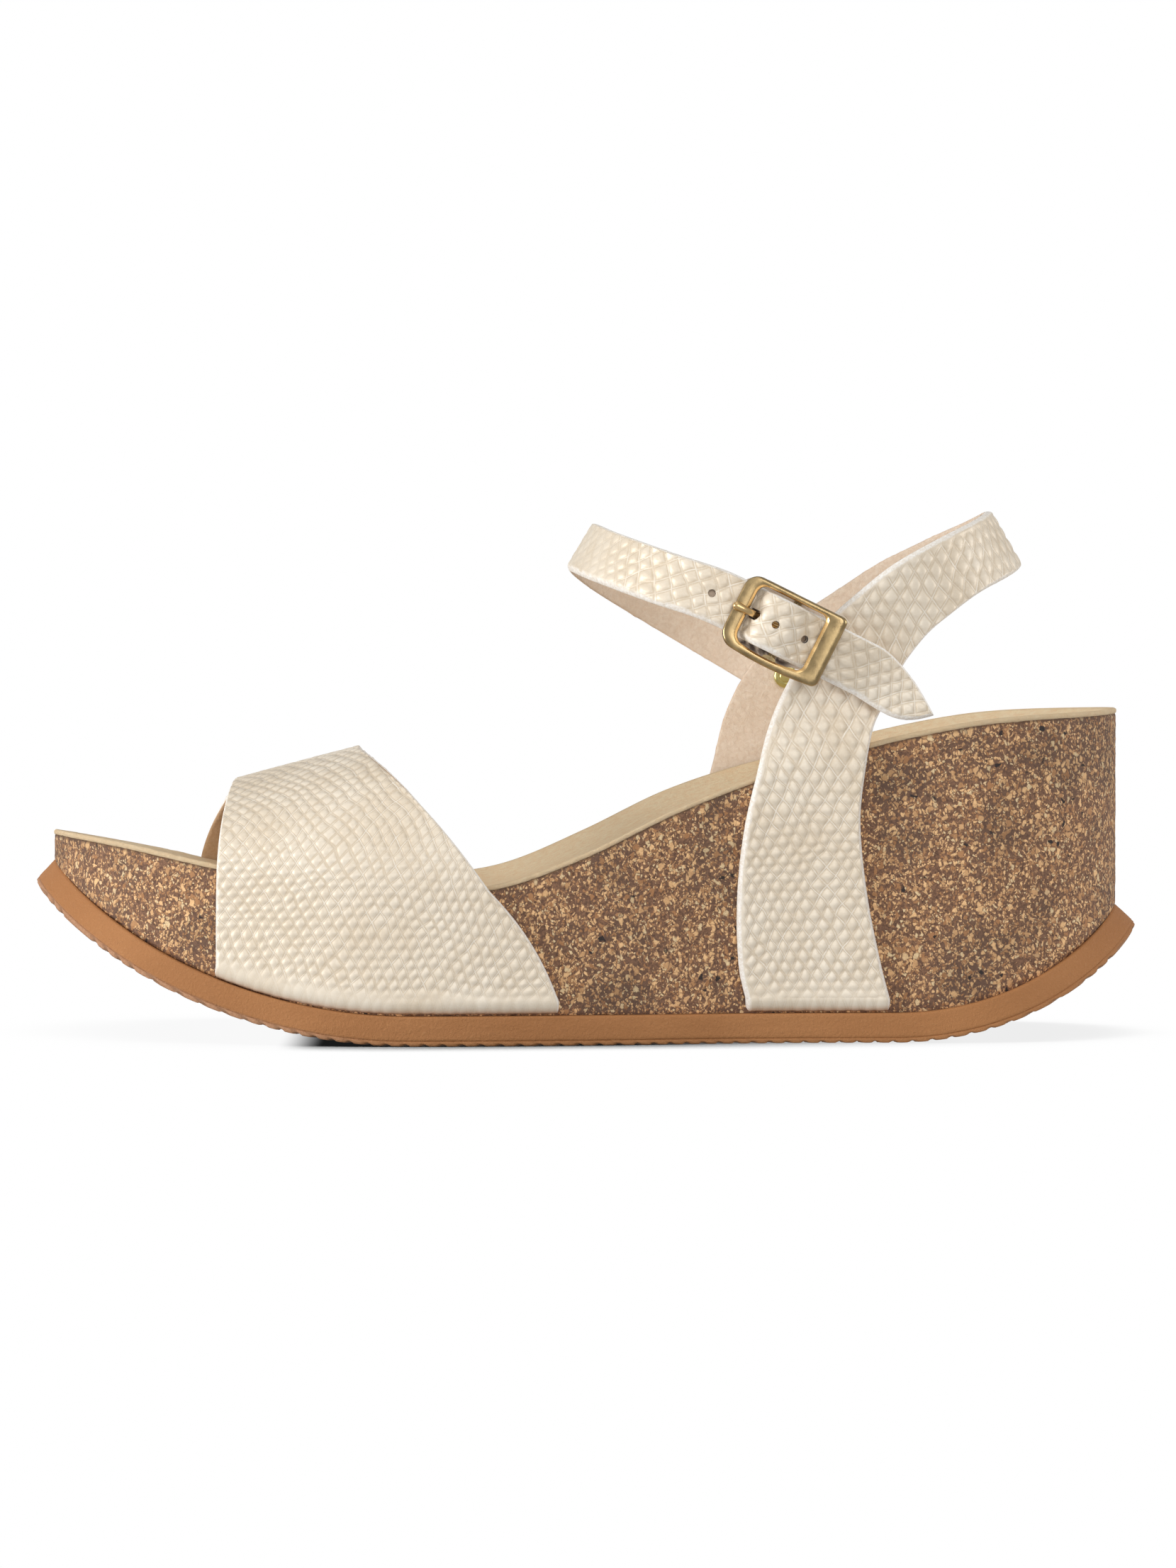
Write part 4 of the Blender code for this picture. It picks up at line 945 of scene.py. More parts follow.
# The strap's front and rear edges, at stations from its lateral foot to the back of the heel
LEG_STATIONS = (0, 0.10, 0.22, 0.34, 0.42, 0.50, 0.57, 0.64, 0.72, 0.82, 0.91, 1.0)
FRONT_X = (37.2, 35.5, 35.2, 37.3, 40.0, 43.3, 47.7, 54.0, 63.0, 74.5, 87.5)
FRONT_Z = (9.85, 18.0, 34.7, 52.1, 63.0, 75.1, 84.5, 95.0, 103.8, 112.3, 118.9, 122.3)
REAR_X = (70.6, 68.5, 65.2, 63.7, 64.7, 66.6, 68.8, 70.6, 75.2, 83.0, 94.0)
REAR_Z = (9.85, 18.0, 34.6, 52.1, 62.0, 72.5, 77.5, 82.0, 89.6, 97.6, 105.0, 108.9)
MEDIAL_SHIFT = (-9, -9, -9, -9, -9, -9, -8.5, -6, -2.6, -0.6, 0)


def loop_angle(x, reach):
    """The angle round the heel loop at x; ahead of the loop it is a straight distance."""
    share = (x - LOOP_X) / reach
    return math.asin(min(share, 1.0)) if share > 0 else share


def leg_curves(side):
    """The two edges of one side, each as a function of the station: (angle, height)."""
    shift = MEDIAL_SHIFT if side > 0 else (0,) * len(FRONT_X)
    made = []
    for xs, zs, reach in ((FRONT_X, FRONT_Z, LOOP_REACH_TOP), (REAR_X, REAR_Z, LOOP_REACH_BOTTOM)):
        angles = [loop_angle(x + move, reach) for x, move in zip(xs, shift)]
        angles += [math.pi / 2, math.pi - angles[-1]]
        heights = zs + (zs[-2],)
        stations = LEG_STATIONS + (2 * LEG_STATIONS[-1] - LEG_STATIONS[-2],)
        made.append(curve_through(stations, np.array([angles, heights]).T))
    return made


def loop_x(angle, reach):
    return LOOP_X + reach * np.where(angle > 0, np.sin(np.maximum(angle, 0)), angle)


def heel_strap_half(side, columns=25, stations=130):
    """Rows of the heel strap's inner face, from its foot to the back of the heel."""
    front, rear = leg_curves(side)
    share = np.linspace(0, 1, columns)
    reach = mix(LOOP_REACH_TOP, LOOP_REACH_BOTTOM, share)
    first, last = front(np.array(0.0)), rear(np.array(0.0))
    ends = (loop_x(first[0], LOOP_REACH_TOP), loop_x(last[0], LOOP_REACH_BOTTOM))
    rows = foot_rows(lambda _: np.linspace(*ends, columns), side, lambda x: 0.0 * x, ())
    for station in np.linspace(0, 1, stations)[1:]:
        a, b = front(np.array(station)), rear(np.array(station))
        angle, z = mix(a[0], b[0], share), mix(a[1], b[1], share)
        x = loop_x(angle, reach)
        free_y = side * LOOP_HALF_WIDTH * np.where(angle > 0, np.cos(angle), 1.0)
        rim = rim_z(x, side)
        y = mix(beside_outline(x, side, WALL_GAP), free_y, smoothstep(z, rim, rim + 12))
        rows.append(np.stack([x, y, z], axis=1))
    return rows


def loop_chart(fine):
    """Flat coordinates of the heel strap: length along its plan, and height."""
    x, y, z = fine[..., 0], fine[..., 1], fine[..., 2]
    radius = 0.5 * (LOOP_REACH_TOP + LOOP_REACH_BOTTOM)
    angle = np.arctan2(np.maximum(x - LOOP_X, 0) / radius, -y / LOOP_HALF_WIDTH)
    straight = np.minimum(x - LOOP_X, 0)
    return radius * angle + np.where(y < 0, straight, -straight), z


def heel_chart(fine):
    """The loop chart, with the scales growing from the foot of the strap to its top."""
    u, v = loop_chart(fine)
    grow = 1.0 + 0.32 * smoothstep(v, 35, 90)
    return (u - 3.0) / grow, (v - 62.0) / grow


def heel_fade(fine):
    """The print is shallow along the strap's cut front edge and at its foot."""
    front = edge_distances(fine)[2]
    return smoothstep(front, 0.6, 2.4) * (0.35 + 0.65 * smoothstep(fine[..., 2], 9.0, 16.0))


HEEL_BEVELS, HEEL_PRINT = (0.6, 0.6, 1.1, 0.6), (3.05, 4, 23)


def build_heel_strap(looks):
    grid = np.array(heel_strap_half(-1) + heel_strap_half(1)[-2::-1])
    leather = leather_sheet(
        "heel_strap_embossed", grid, heel_chart, HEEL_BEVELS, HEEL_PRINT, looks["leather"], 0.37, heel_fade
    )
    inner = grid[FOOT_ROWS:-FOOT_ROWS]
    felt = felt_sheet("heel_strap_felt", inner, loop_chart, 5, looks["felt"], 0.6)
    place(leather, "sandal", "leather", "heel_strap_leather")
    place(felt, "sandal", "felt", "heel_strap_lining")


# ---------------------------------------------------------------- ankle strap


def at_buckle(along, across, out):
    """A point given along and across the ankle strap, and out from the heel strap."""
    return BAR_ORIGIN + along * ALONG + across * ACROSS + out * OUTWARD


# How far out the strap's inner face lies: (along, out)
STRAP_RISE = (
    (-15.0, 4.05), (-11.5, 4.1), (-9.6, 4.2), (-8.0, 4.7), (-6.8, 6.3), (-5.6, 8.2), (-4.2, 9.35),
    (-2.0, 9.6), (0.0, 9.4), (4.0, 8.0), (8.0, 6.75), (11.5, 6.65), (16.0, 6.3), (23.0, 4.6),
    (31.0, 4.0), (TAIL_TIP, 4.0),
)


def strap_path():
    """The middle of the strap's inner face from its medial end to its tail, and its lengths."""
    back = np.array((-math.cos(MEDIAL_SLOPE), 0.0, math.sin(MEDIAL_SLOPE)))
    medial = np.array((MEDIAL_RIVET[0], LOOP_HALF_WIDTH + STACK + GAP, MEDIAL_RIVET[1]))
    points = [medial - MEDIAL_END * back, medial, medial + 12.0 * back + (0, 0.9, 0)]
    points += [np.array(p) for p in ((20.5, 33.0, 100.2), (6.2, 20.0, 109.0), (0.5, 0.0, 113.7))]
    points += [np.array(p) for p in ((5.6, -20.0, 111.6), (18.3, -33.0, 107.0))]
    points += [at_buckle(along, 0.0, out) for along, out in STRAP_RISE]
    points = np.array(points)
    lengths = np.concatenate([[0], np.cumsum(np.linalg.norm(np.diff(points, axis=0), axis=1))])
    return curve_through(lengths, points), lengths


def tail_edges(along):
    """The strap's upper and lower edge where it narrows to its tip."""
    taper = np.maximum(along - TAPER_START, 0.0) / (TAIL_TIP - TAPER_START)
    upper = STRAP_HALF_WIDTH - TAPER_DROP * taper**1.6
    sag = 0.7 * np.sin(math.pi * np.minimum(taper, 1.0))
    late = np.maximum(along - TIP_START, 0.0) / (TAIL_TIP - TIP_START)
    lower = -STRAP_HALF_WIDTH - sag + 4.0 * late**2.4
    return upper, np.maximum(np.minimum(lower, upper - 0.2), -8.0)


FLAT_START = 8  # the path's point from which the strap runs flat along the buckle


def ankle_strap_grid(columns=21):
    path, lengths = strap_path()
    near_start = lengths[FLAT_START]
    round_ankle = np.linspace(0, near_start, 90)[:-1]
    rows = []
    for distance in np.concatenate([round_ankle, np.linspace(near_start, lengths[-1], 150)]):
        centre = path(np.array(distance))
        turn = smoothstep(distance, near_start - 40, near_start)
        slope = mix(MEDIAL_SLOPE, STRAP_SLOPE, turn)
        width = np.array((math.sin(slope), 0.0, math.cos(slope)))
        upper, lower = STRAP_HALF_WIDTH, -STRAP_HALF_WIDTH
        if distance > near_start:
            upper, lower = tail_edges(float(np.dot(centre - BAR_ORIGIN, ALONG)))
        end = min(distance / MEDIAL_ROUNDING, 1.0)
        inset = 1 - 0.45 * (1 - math.sqrt(end * (2 - end)))
        across = np.linspace(upper * inset, lower * inset, columns)
        rows.append(centre + across[:, None] * width)
    return np.array(rows)


STRAP_STRETCH = 1.3  # the scales on the ankle strap are longer than they are tall


def strap_chart(fine):
    """Flat coordinates of the ankle strap: length along it, and distance from its middle."""
    middle = fine[:, fine.shape[1] // 2]
    run = np.concatenate([[0], np.cumsum(np.linalg.norm(np.diff(middle, axis=0), axis=1))])
    away = fine - middle[:, None]
    across = np.einsum("ijk,k->ij", away, ACROSS)
    lengthways = np.einsum("ijk,k->ij", away, ALONG)
    return (run[:, None] + 0.3 * lengthways) / STRAP_STRETCH, across


def on_strap(along):
    """The middle of the strap's inner face beside the buckle, and its outward normal."""
    profile = curve_through(*np.transpose(STRAP_RISE))
    step = 0.2 if along > STRAP_RISE[0][0] else 0.0
    slope = float(profile(along + step) - profile(along - step)) / 0.4
    normal = OUTWARD - slope * ALONG
    return at_buckle(along, 0.0, float(profile(along))), normal / np.linalg.norm(normal)


def turned(origin, axis, profile, steps):
    """Points and faces of a profile of (distance, radius) turned round an axis."""
    axis = np.asarray(axis, float) / np.linalg.norm(axis)
    side = np.cross(axis, (0.3, 0.1, 1.0))
    side /= np.linalg.norm(side)
    other = np.cross(axis, side)
    angles = np.linspace(0, 2 * math.pi, steps, endpoint=False)[:, None]
    circle = np.cos(angles) * side + np.sin(angles) * other
    return capped_rings([origin + distance * axis + radius * circle for distance, radius in profile])


def punch(obj, cutters, look):
    """Cuts closed cutters, given as (points, faces), out of a sheet."""
    tools = []
    for number, (points, faces) in enumerate(cutters):
        tool = new_object(f"punch_{number}", points, faces, look)
        tools.append(tool)
        boolean = obj.modifiers.new(tool.name, "BOOLEAN")
        boolean.operation = "DIFFERENCE"
        boolean.solver = "EXACT"
        boolean.material_mode = "TRANSFER"
        boolean.object = tool
    graph = bpy.context.evaluated_depsgraph_get()
    cut_mesh = bpy.data.meshes.new_from_object(obj.evaluated_get(graph))
    obj.modifiers.clear()
    obj.data = cut_mesh
    for tool in tools:
        bpy.data.objects.remove(tool)


# Reach of the cutters, in and out from the strap's inner face
SLOT_REACH, HOLE_REACH = (-1.5, 4.5), (-3.0, 5.0)


def prong_slot():
    """A cutter for the hole in use, drawn long by the prong that stands through it."""
    centre, normal = on_strap(SLOT_ALONG)
    tangent = np.cross(normal, ACROSS)
    tangent *= np.sign(tangent @ ALONG)
    outline = []
    for angle in np.linspace(0, 2 * math.pi, 33)[:-1]:
        shift = SLOT_AHEAD if math.cos(angle) > 0 else -SLOT_BEHIND
        lengthways = (shift + SLOT_HALF_LENGTH * math.cos(angle)) * tangent
        outline.append(centre + lengthways + SLOT_HALF_WIDTH * math.sin(angle) * ACROSS)
    return capped_rings([np.array(outline) + out * normal for out in SLOT_REACH])


def strap_holes(places, radius):
    """Cutters for round holes in the strap and for the one that the prong stands in."""
    profile = [(out, radius) for out in HOLE_REACH]
    return [turned(*on_strap(along), profile, 28) for along in places] + [prong_slot()]


def strap_fade(fine):
    """The print is stretched shallow where the strap bends round the front of the ankle."""
    return 0.4 + 0.6 * smoothstep(fine[..., 0], 3.0, 15.0)


STRAP_BEVELS, STRAP_PRINT = (0.6, 0.6, 0.5, 1.15), (3.1, -8, 37)
FELT_HOLE_RADIUS = 0.8


def build_ankle_strap(looks):
    grid = ankle_strap_grid()
    dents = [(on_strap(along)[0], 1.7, 0.3) for along in HOLES_ALONG]
    leather = leather_sheet(
        "ankle_strap_embossed", grid, strap_chart, STRAP_BEVELS, STRAP_PRINT,
        looks["leather"], 0.25, strap_fade, dents,
    )
    felt = felt_sheet("ankle_strap_felt", grid, strap_chart, 7, looks["felt"], 0.4)
    # The cut walls take the hole look, which paints shade inside the holes.
    punch(leather, strap_holes(HOLES_ALONG, HOLE_RADIUS), looks["hole"])
    punch(felt, strap_holes(HOLES_ALONG[1:], FELT_HOLE_RADIUS), looks["hole"])
    place(leather, "ankle_strap", "leather", "ankle_strap_leather")
    place(felt, "ankle_strap", "felt", "ankle_strap_lining")


# ---------------------------------------------------------------- buckle tab and guard


def flat_chart(fine):
    away = fine - BAR_ORIGIN
    return away @ ALONG, away @ ACROSS


TAB_SLIT_ENDS, TAB_SLIT_HALF_WIDTH = (-4.0, 3.2), 1.5


def tab_profile():
    """The tab's inner face from the side, as (along, out): out round the bar and back."""
    low = BAR_HEIGHT - TAB_LOOP_RADIUS
    high = low + GAP
    profile = [(TAB_END, low), (8.0, low), (3.0, low)]
    for angle in np.linspace(-math.pi / 2, -1.5 * math.pi, 17):
        out = BAR_HEIGHT + TAB_LOOP_RADIUS * math.sin(angle)
        profile.append((TAB_LOOP_RADIUS * math.cos(angle), out))
    for share in np.linspace(0, 1, 9)[1:]:
        drop = float(smoothstep(share, 0, 1))
        profile.append((6.0 * share, mix(BAR_HEIGHT + TAB_LOOP_RADIUS, high, drop)))
    return profile + [(11.0, high), (TAB_END, high)]


def build_tab(looks):
    """The leather loop round the buckle's bar, slit for the prong."""
    widths = np.linspace(TAB_HALF_WIDTH, -TAB_HALF_WIDTH, 9)
    grid = np.array([[at_buckle(along, w, out) for w in widths] for along, out in tab_profile()])
    inner, normals = refined(grid, 0.5, 2, 0.8)
    if np.dot(normals[0, 0], OUTWARD) > 0:
        normals = -normals
    u, v = flat_chart(inner)
    nearest = nearest_edge(inner)
    level = TAB_THICK - rounding(nearest, 0.5, 0.35) + 0.04 * fractal(u / 1.2, v / 1.2, 51)
    outer = inner + level[..., None] * normals
    tab = sheet_object("buckle_tab_loop", outer, inner, 2, looks["felt"], {"edge": (nearest, 0)})
    across = TAB_SLIT_HALF_WIDTH
    corners = ((-across, 1.0), (across, 1.0), (across, 10.0), (-across, 10.0))
    slit = capped_rings([[at_buckle(along, *corner) for corner in corners] for along in TAB_SLIT_ENDS])
    # The slit's walls take the hole look, which paints shade inside the slit.
    punch(tab, [slit], looks["hole"])
    place(tab, "ankle_strap", "leather", "buckle_tab")


GUARD_START, GUARD_ROUNDING = -13.8, 6.0
GUARD_END_HALF, GUARD_FULL_HALF, GUARD_NECK_HALF = 4.2, 8.6, 6.0


def guard_painted_shade(u, v):
    """Painted shade: the dark patch under the buckle's lower side."""
    across = smoothstep(-v, 4.6, 5.6) * smoothstep(-v, 8.2, 7.4)
    lengthways = smoothstep(u, -8.8, -7.6) * smoothstep(u, 6.0, 3.0)
    return across * lengthways * smoothstep(fractal(u / 0.8, v / 0.8, 61), -0.9, 0.1)


def build_guard(looks):
    """The felt-faced leather backing under the buckle, rounded at its free end."""
    rows = []
    for along in np.concatenate([np.linspace(GUARD_START, -10, 14), np.linspace(-9.5, TAB_END, 40)]):
        reach = min((along - GUARD_START) / GUARD_ROUNDING, 1.0)
        half = mix(GUARD_END_HALF, GUARD_FULL_HALF, math.sqrt(reach * (2 - reach)))
        half = mix(half, GUARD_NECK_HALF, float(smoothstep(along, -2.0, 12.0)))
        rows.append([at_buckle(along, w, GUARD_LEVEL) for w in np.linspace(half, -half, 33)])
    low = np.array(rows)
    u, v = flat_chart(low)
    nearest = nearest_edge(low)
    level = GUARD_THICK - rounding(nearest, 0.6, 0.3) + 0.04 * fractal(u / 1.2, v / 1.2, 57)
    high = low + level[..., None] * OUTWARD
    # The guard's pad carries painted shade under the buckle's lower side.
    marks = {"edge": (nearest, 0), "painted_shade": (guard_painted_shade(u, v), 0)}
    guard = sheet_object("buckle_guard_pad", high, low, 1, looks["felt"], marks)
    place(guard, "ankle_strap", "leather", "buckle_guard")


# ---------------------------------------------------------------- buckle and rivets


def at_frame(along, across, lift):
    """A point given in the buckle frame's own tilted plane, from the bar."""
    turned_along = along * math.cos(FRAME_TILT) - lift * math.sin(FRAME_TILT)
    out = along * math.sin(FRAME_TILT) + lift * math.cos(FRAME_TILT)
    return at_buckle(turned_along, across, BAR_HEIGHT + out)


def rounded_rectangle(left, right, low, high, radii, bow, steps=10, sides=14):
    """A loop round a rectangle with round corners; its long lower side bows outwards."""
    near, far = radii
    corners = (
        (right - far, high - far, far), (left + near, high - near, near),
        (left + near, low + near, near), (right - far, low + far, far),
    )
    points = []
    for turn, (x, y, radius) in enumerate(corners):
        for angle in np.linspace(turn * math.pi / 2, (turn + 1) * math.pi / 2, steps):
            points.append((x + radius * math.cos(angle), y + radius * math.sin(angle)))
        x, y, radius = corners[(turn + 1) % 4]
        start = np.array(points[-1])
        end = np.array((x + radius * math.cos(angle), y + radius * math.sin(angle)))
        for share in np.linspace(0, 1, sides)[1:-1]:
            points.append(tuple(mix(start, end, share)))
    points = np.array(points)
    middle, reach = (left + right) / 2, (right - left) / 2
    under = np.clip(-(points[:, 1] - (low + high) / 2) / (high - low) * 2, 0, 1)
    points[:, 1] -= bow * under * np.clip(1 - ((points[:, 0] - middle) / reach) ** 2, 0, 1)
    return points


FRAME_BOW, FRAME_LOW_EXTRA = 0.9, 0.35  # its lower side is bowed, and a little wider
OUTSIDE_RADII, WINDOW_RADII = (3.4, 1.4), (2.1, 1.4)
SHOULDER = 1.1  # height of the frame's rounded outer edge
BAR_END, BAR_BEVEL = 7.6, 0.2
LUG_HALF_LENGTH, LUG_HALF_WIDTH = 1.3, 0.55
METAL_SHARP = 38  # edges of the brass pieces that turn more than this look sharp


def frame_rings():
    """Loops round the frame from its underside, over its outer edge and down its window.

    Each is (left, right, low, high, corner radii, lift, how worn and bright it is).
    """
    half, side, window = FRAME_LENGTH / 2, FRAME_WIDTH / 2, WINDOW_WIDTH / 2
    low, top = -side - FRAME_LOW_EXTRA, FRAME_LIFT + FRAME_THICK
    left, right = WINDOW_LEFT, WINDOW_RIGHT
    near, far = OUTSIDE_RADII
    rings = [
        (-half + 0.3, half - 0.3, low + 0.3, side - 0.3, (3.2, 1.2), FRAME_LIFT, 0.1),
        (-half, half, low, side, OUTSIDE_RADII, FRAME_LIFT + 0.3, 0.2),
        (-half, half, low, side, OUTSIDE_RADII, top - SHOULDER, 0.2),
    ]
    for angle in np.linspace(0.0, math.pi / 2, 6)[1:]:
        inset = 1 - math.cos(angle)
        radii = (near - 0.4 * inset, far - 0.3 * inset)
        sides = (-half + 0.5 * inset, half - 1.1 * inset, low + 0.75 * inset, side - 0.55 * inset)
        rings.append((*sides, radii, top - SHOULDER + 1.05 * math.sin(angle), 0.25))
    return rings + [
        (left - 0.75, right + 0.95, -window - 0.55, window + 0.45, (2.5, 1.8), top, 0.3),
        (left - 0.6, right + 0.8, -window - 0.4, window + 0.35, (2.4, 1.7), top - 0.06, 1.0),
        (left - 0.15, right + 0.2, -window - 0.1, window + 0.1, (2.2, 1.5), top - 0.62, 1.0),
        (left, right, -window, window, WINDOW_RADII, top - 0.8, 0.5),
        (left, right, -window, window, WINDOW_RADII, FRAME_LIFT + 0.2, 0.0),
        (left - 0.2, right + 0.2, -window - 0.2, window + 0.2, (2.3, 1.6), FRAME_LIFT, 0.0),
    ]


def build_frame(look):
    """The brass frame: broad flat ends, thin sides, a bright bevel round its window."""
    rings, worn = [], []
    for *sides, radii, lift, shine in frame_rings():
        outline = rounded_rectangle(*sides, radii, FRAME_BOW)
        rings.append([at_frame(x, y, lift) for x, y in outline])
        worn.append(np.full(len(outline), shine))
    points = np.reshape(rings, (-1, 3))
    size = len(rings[0])
    last = len(points) - size
    faces = grid_faces(len(rings), size, closed=True)
    faces += [(last + k, last + (k + 1) % size, (k + 1) % size, k) for k in range(size)]
    marks = {"worn": np.concatenate(worn)}
    body = new_object("buckle_frame_body", points, faces, look, marks, METAL_SHARP)
    place(body, "buckle", "brass", "buckle_frame")
    build_lug("buckle_lug_upper", 1, look)
    build_lug("buckle_lug_lower", -1, look)
    shoulder, neck = BAR_END - BAR_BEVEL, BAR_RADIUS - BAR_BEVEL
    profile = ((-BAR_END, neck), (-shoulder, BAR_RADIUS), (shoulder, BAR_RADIUS), (BAR_END, neck))
    points, faces = turned(BAR_AXIS_POINT, ACROSS, profile, 28)
    bar = new_object("buckle_centre_bar", points, faces, look, sharp=METAL_SHARP)
    place(bar, "buckle", "brass")


def build_lug(name, end, look):
    """One of the two feet that carry the centre bar below the frame."""
    angles = np.linspace(0, 2 * math.pi, 24, endpoint=False)
    outline = [(LUG_HALF_LENGTH * math.cos(a), LUG_HALF_WIDTH * math.sin(a)) for a in angles]
    foot, neck = -BAR_RADIUS, FRAME_LIFT - 0.2
    rings = []
    for lift, grow in ((foot, 0.8), (foot + 0.2, 1.0), (neck, 1.0), (FRAME_LIFT + 0.4, 1.25)):
        rings.append([at_frame(grow * a, end * (BAR_END + grow * b), lift) for a, b in outline])
    points, faces = capped_rings(rings)
    lug = new_object(name, points, faces, look, sharp=METAL_SHARP)
    place(lug, "buckle", "brass")


def tube(name, stations, look, steps=20):
    """A wire through (along, across, out, radius) stations, with rounded ends."""
    stations = np.array(stations, float)
    places = np.array([at_buckle(*s[:3]) for s in stations])
    lengths = np.concatenate([[0], np.cumsum(np.linalg.norm(np.diff(places, axis=0), axis=1))])
    values = np.concatenate([places, stations[:, 3:]], axis=1)
    fine = curve_through(lengths, values)(np.linspace(0, lengths[-1], 10 * len(stations)))
    centres, radii = fine[:, :3], fine[:, 3]
    tangents = np.gradient(centres, axis=0)
    tangents /= np.linalg.norm(tangents, axis=1, keepdims=True)
    first = ACROSS - tangents * (tangents @ ACROSS)[:, None]
    first /= np.linalg.norm(first, axis=1, keepdims=True)
    second = np.cross(tangents, first)
    angles = np.linspace(0, 2 * math.pi, steps + 1)[:-1]
    circle = np.cos(angles)[:, None] * first[:, None] + np.sin(angles)[:, None] * second[:, None]
    points, faces = capped_rings(centres[:, None] + np.maximum(radii, 0.02)[:, None, None] * circle)
    return new_object(name, points, faces, look, {"worn": np.full(len(points), 0.7)}, 60)


EYE_START, EYE_END = 195, 440  # degrees round the bar that the prong's eye covers
EYE_RADIUS, EYE_WIRE_RADIUS = 1.65, 0.5

# The prong from its eye to its tip: (along, out, radius)
PRONG_PATH = (
    (-1.2, 7.15, 0.6), (-3.2, 6.8, 0.75), (-5.0, 6.7, 0.8), (-6.6, 7.3, 0.8), (-7.9, 8.7, 0.8),
    (-9.1, 10.0, 0.8), (-10.4, 10.5, 0.82), (-11.6, 10.5, 0.98), (-12.5, 10.45, 1.0),
    (-13.0, 10.4, 0.8), (-13.3, 10.35, 0.4),
)


def build_prong(look):
    path = []
    for angle in np.linspace(math.radians(EYE_START), math.radians(EYE_END), 16):
        out = BAR_HEIGHT + EYE_RADIUS * math.sin(angle)
        path.append((EYE_RADIUS * math.cos(angle), 0.0, out, EYE_WIRE_RADIUS))
    path += [(along, 0.0, out, radius) for along, out, radius in PRONG_PATH]
    place(tube("buckle_prong_wire", path, look), "prong", "brass", "buckle_prong")


# A rivet post from its ringed head, and its cap from the end of the post: (distance, radius)
RIVET_HEAD = (
    (-1.2, 1.3), (-1.08, 1.45), (-1.08, 1.75), (-1.2, 1.9), (-1.2, 2.3), (-1.05, 2.7),
    (-0.8, 2.88), (-0.5, 2.9), (-0.12, 2.85),
)
POST_RADIUS = 1.5
RIVET_CAP = (
    (0.25, 1.6), (0.0, 1.8), (0.0, 2.85), (0.12, 2.9), (0.25, 2.8), (0.36, 2.4), (0.44, 1.7), (0.48, 0.8),
)
LATERAL_STACK, MEDIAL_STACK = 5.85, 4.95  # leather that each rivet holds


def build_rivet(name, centre, side, stack, look):
    """A post with a flat ringed head inside the strap, and the domed cap outside."""
    inner = np.array((centre[0], side * LOOP_HALF_WIDTH, centre[1]))
    post = (*RIVET_HEAD, (-0.1, POST_RADIUS), (stack, POST_RADIUS))
    cap = [(stack + rise, radius) for rise, radius in RIVET_CAP]
    for part, profile in (("post", post), ("cap", cap)):
        points, faces = turned(inner, (0.0, side, 0.0), profile, 48)
        marks = {"worn": np.full(len(points), 0.45)}
        made = new_object(f"{name}_{part}_turned", points, faces, look, marks, METAL_SHARP)
        place(made, "sandal", "brass", f"{name}_{part}")


def build_brass(looks):
    build_frame(looks["brass"])
    build_prong(looks["brass"])
    lateral = (LATERAL_RIVET[0], LATERAL_RIVET[2])
    build_rivet("lateral_rivet", lateral, -1, LATERAL_STACK, looks["rivet"])
    build_rivet("medial_rivet", MEDIAL_RIVET, 1, MEDIAL_STACK, looks["rivet"])


# ---------------------------------------------------------------- stage


AMBIENT = 0.46  # brightness of the white surroundings, as the sandal sees them
WHITE = (1.0, 1.0, 1.0)
IS_CAMERA_RAY, TRANSPARENT_DEPTH, BACKFACING = 0, 11, 6  # outputs of the nodes that tell
SHADOW_REACH = 0.040

# (name, place, size, power)
LIGHTS = (
    ("left softbox", (-1.25, -0.42, 0.12), 0.6, 16.6),
    ("top softbox", (-0.2, -0.3, 1.2), 0.7, 1.8),
    ("right rim", (1.3, 0.15, 0.25), 0.5, 4.5),
    ("front fill", (0.3, -1.7, 0.6), 1.0, 10.6),
)
LIGHT_TARGET = (0.0, 0.0, 0.05)


def build_world():
    """White surroundings, dimmer to the sandal than to the camera."""
    world = bpy.data.worlds.new("studio")
    world.use_nodes = True
    tree = world.node_tree
    background = tree.nodes["Background"]
    background.inputs["Color"].default_value = (*WHITE, 1.0)
    seen = tree.nodes.new("ShaderNodeLightPath").outputs["Is Camera Ray"]
    strength = tree.nodes.new("ShaderNodeMapRange")
    strength.inputs["To Min"].default_value = AMBIENT
    tree.links.new(seen, strength.inputs["Value"])
    tree.links.new(strength.outputs["Result"], background.inputs["Strength"])
    bpy.context.scene.world = world


def floor_look():
    """White, with a contact shadow under the tread, and clear when seen from below."""
    look = Look("white floor")
    shadow = look.add("AmbientOcclusion", output=1, settings={"samples": 12}, Distance=SHADOW_REACH)
    along = look.add("SeparateXYZ", Vector=look.here())
    front = look.band(along, -0.071, -0.060)
    back = look.band(along, 0.090, 0.010, 0.1, 1.0)
    under = look.maths("MULTIPLY", front, back)
    under = look.maths("MULTIPLY", under, look.band(shadow, 0.72, 0.50, 0.0, 0.93))
    soft = look.maths("SUBTRACT", look.band(shadow, 0.2, 0.9, 0.94, 1.0), under, True)
    seen = look.add("LightPath", output=IS_CAMERA_RAY)
    strength = look.maths("MULTIPLY", soft, look.band(seen, 0.0, 1.0, AMBIENT, 1.0))
    glow = look.add("Emission", Color=WHITE, Strength=strength)
    behind = look.add("NewGeometry", output=BACKFACING)
    passed = look.add("LightPath", output=TRANSPARENT_DEPTH)
    from_below = look.maths("MAXIMUM", behind, passed, True)
    surface = look.add("MixShader", i0=from_below, i1=glow, i2=look.add("BsdfTransparent"))
    look.tree.links.new(surface, look.tree.nodes["Material Output"].inputs["Surface"])
    return look.material


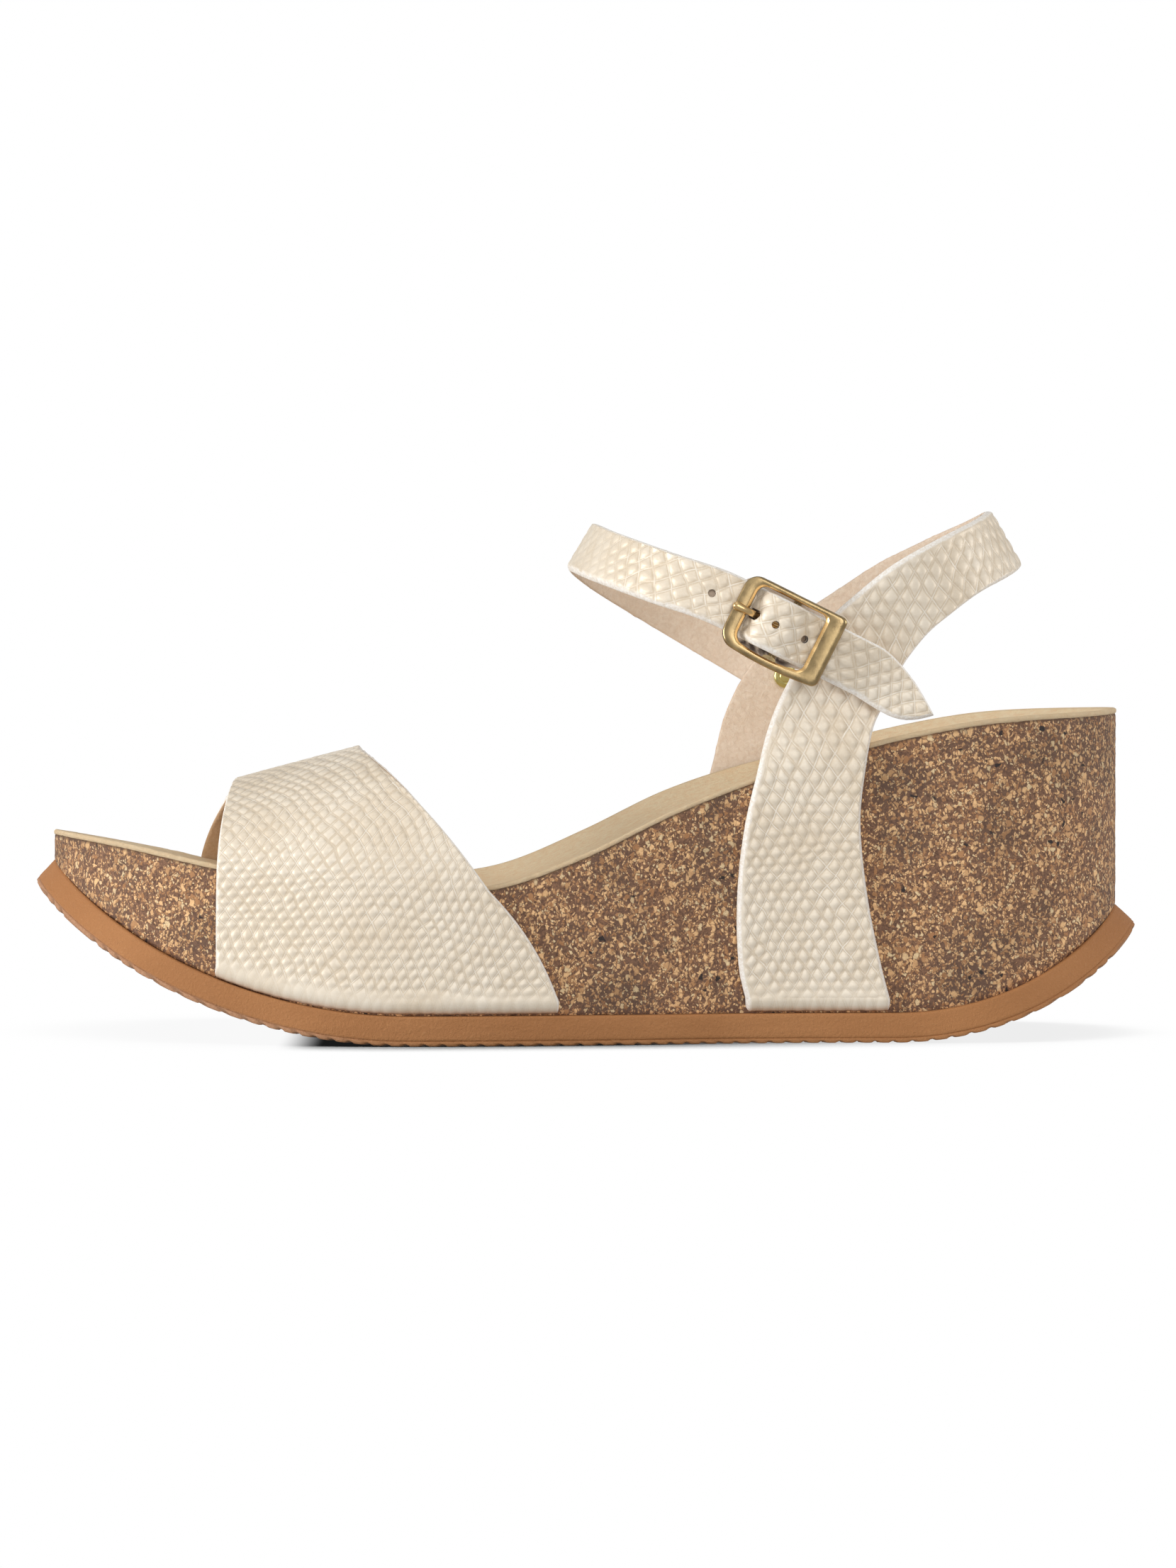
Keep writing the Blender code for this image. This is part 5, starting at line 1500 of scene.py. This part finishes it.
def build_stage():
    bpy.context.scene.view_settings.view_transform = "Standard"
    build_world()
    bpy.ops.mesh.primitive_plane_add(size=30, location=(0, 0, -0.00005))
    floor = bpy.context.object
    floor.name = "floor"
    floor.data.materials.append(floor_look())
    for name, start, size, power in LIGHTS:
        lamp = bpy.data.lights.new(name, "AREA")
        lamp.size = size
        lamp.energy = power
        obj = bpy.data.objects.new(name, lamp)
        obj.location = start
        aim = Vector(LIGHT_TARGET) - Vector(start)
        obj.rotation_euler = aim.to_track_quat("-Z", "Y").to_euler()
        bpy.context.collection.objects.link(obj)


CAMERA_X, CAMERA_DISTANCE, CAMERA_Z, AIM_Z = 0.0009, 1.5, 0.110, 0.0585
FRAME_HEIGHT = 0.3699


def build_camera():
    data = bpy.data.cameras.new("camera")
    reach = math.hypot(CAMERA_DISTANCE, CAMERA_Z - AIM_Z)
    data.sensor_width = 36.0
    data.lens = data.sensor_width * reach / FRAME_HEIGHT
    camera = bpy.data.objects.new("camera", data)
    camera.location = (CAMERA_X, -CAMERA_DISTANCE, CAMERA_Z)
    aim = Vector((CAMERA_X, 0.0, AIM_Z)) - camera.location
    camera.rotation_euler = aim.to_track_quat("-Z", "Y").to_euler()
    bpy.context.collection.objects.link(camera)
    bpy.context.scene.camera = camera


FELTS = {
    "felt": ("beige felt", (0.80, 0.63, 0.48), (0.94, 0.81, 0.67), (0.64, 0.45, 0.30)),
    # The lining look is a darker, browner copy of the beige felt: painted shade for the inside of the vamp,
    # which lies in shade.
    "lining": ("felt with painted shade", (0.52, 0.31, 0.15), (0.66, 0.44, 0.25), (0.44, 0.24, 0.10)),
    # Painted shade: the walls of the strap's holes and of the tab's slit are painted near black.
    "hole": ("hole wall in painted shade", (0.10, 0.07, 0.05), (0.20, 0.14, 0.10), (0.10, 0.07, 0.05)),
}
BRASSES = {
    "brass": ("antique brass", (0.25, 0.185, 0.098), (0.46, 0.34, 0.175), (0.90, 0.61, 0.28)),
    "rivet": ("yellow brass", (0.42, 0.38, 0.14), (0.56, 0.50, 0.20), (0.74, 0.66, 0.28)),
}


def main():
    looks = {"leather": leather_look(), "suede": suede_look(), "cork": cork_look(), "rubber": rubber_look()}
    looks |= {key: felt_look(*colours) for key, colours in FELTS.items()}
    looks |= {key: brass_look(*colours) for key, colours in BRASSES.items()}
    build_sole(looks)
    build_vamp(looks)
    build_heel_strap(looks)
    build_ankle_strap(looks)
    build_brass(looks)
    build_tab(looks)
    build_guard(looks)
    build_stage()
    build_camera()


main()
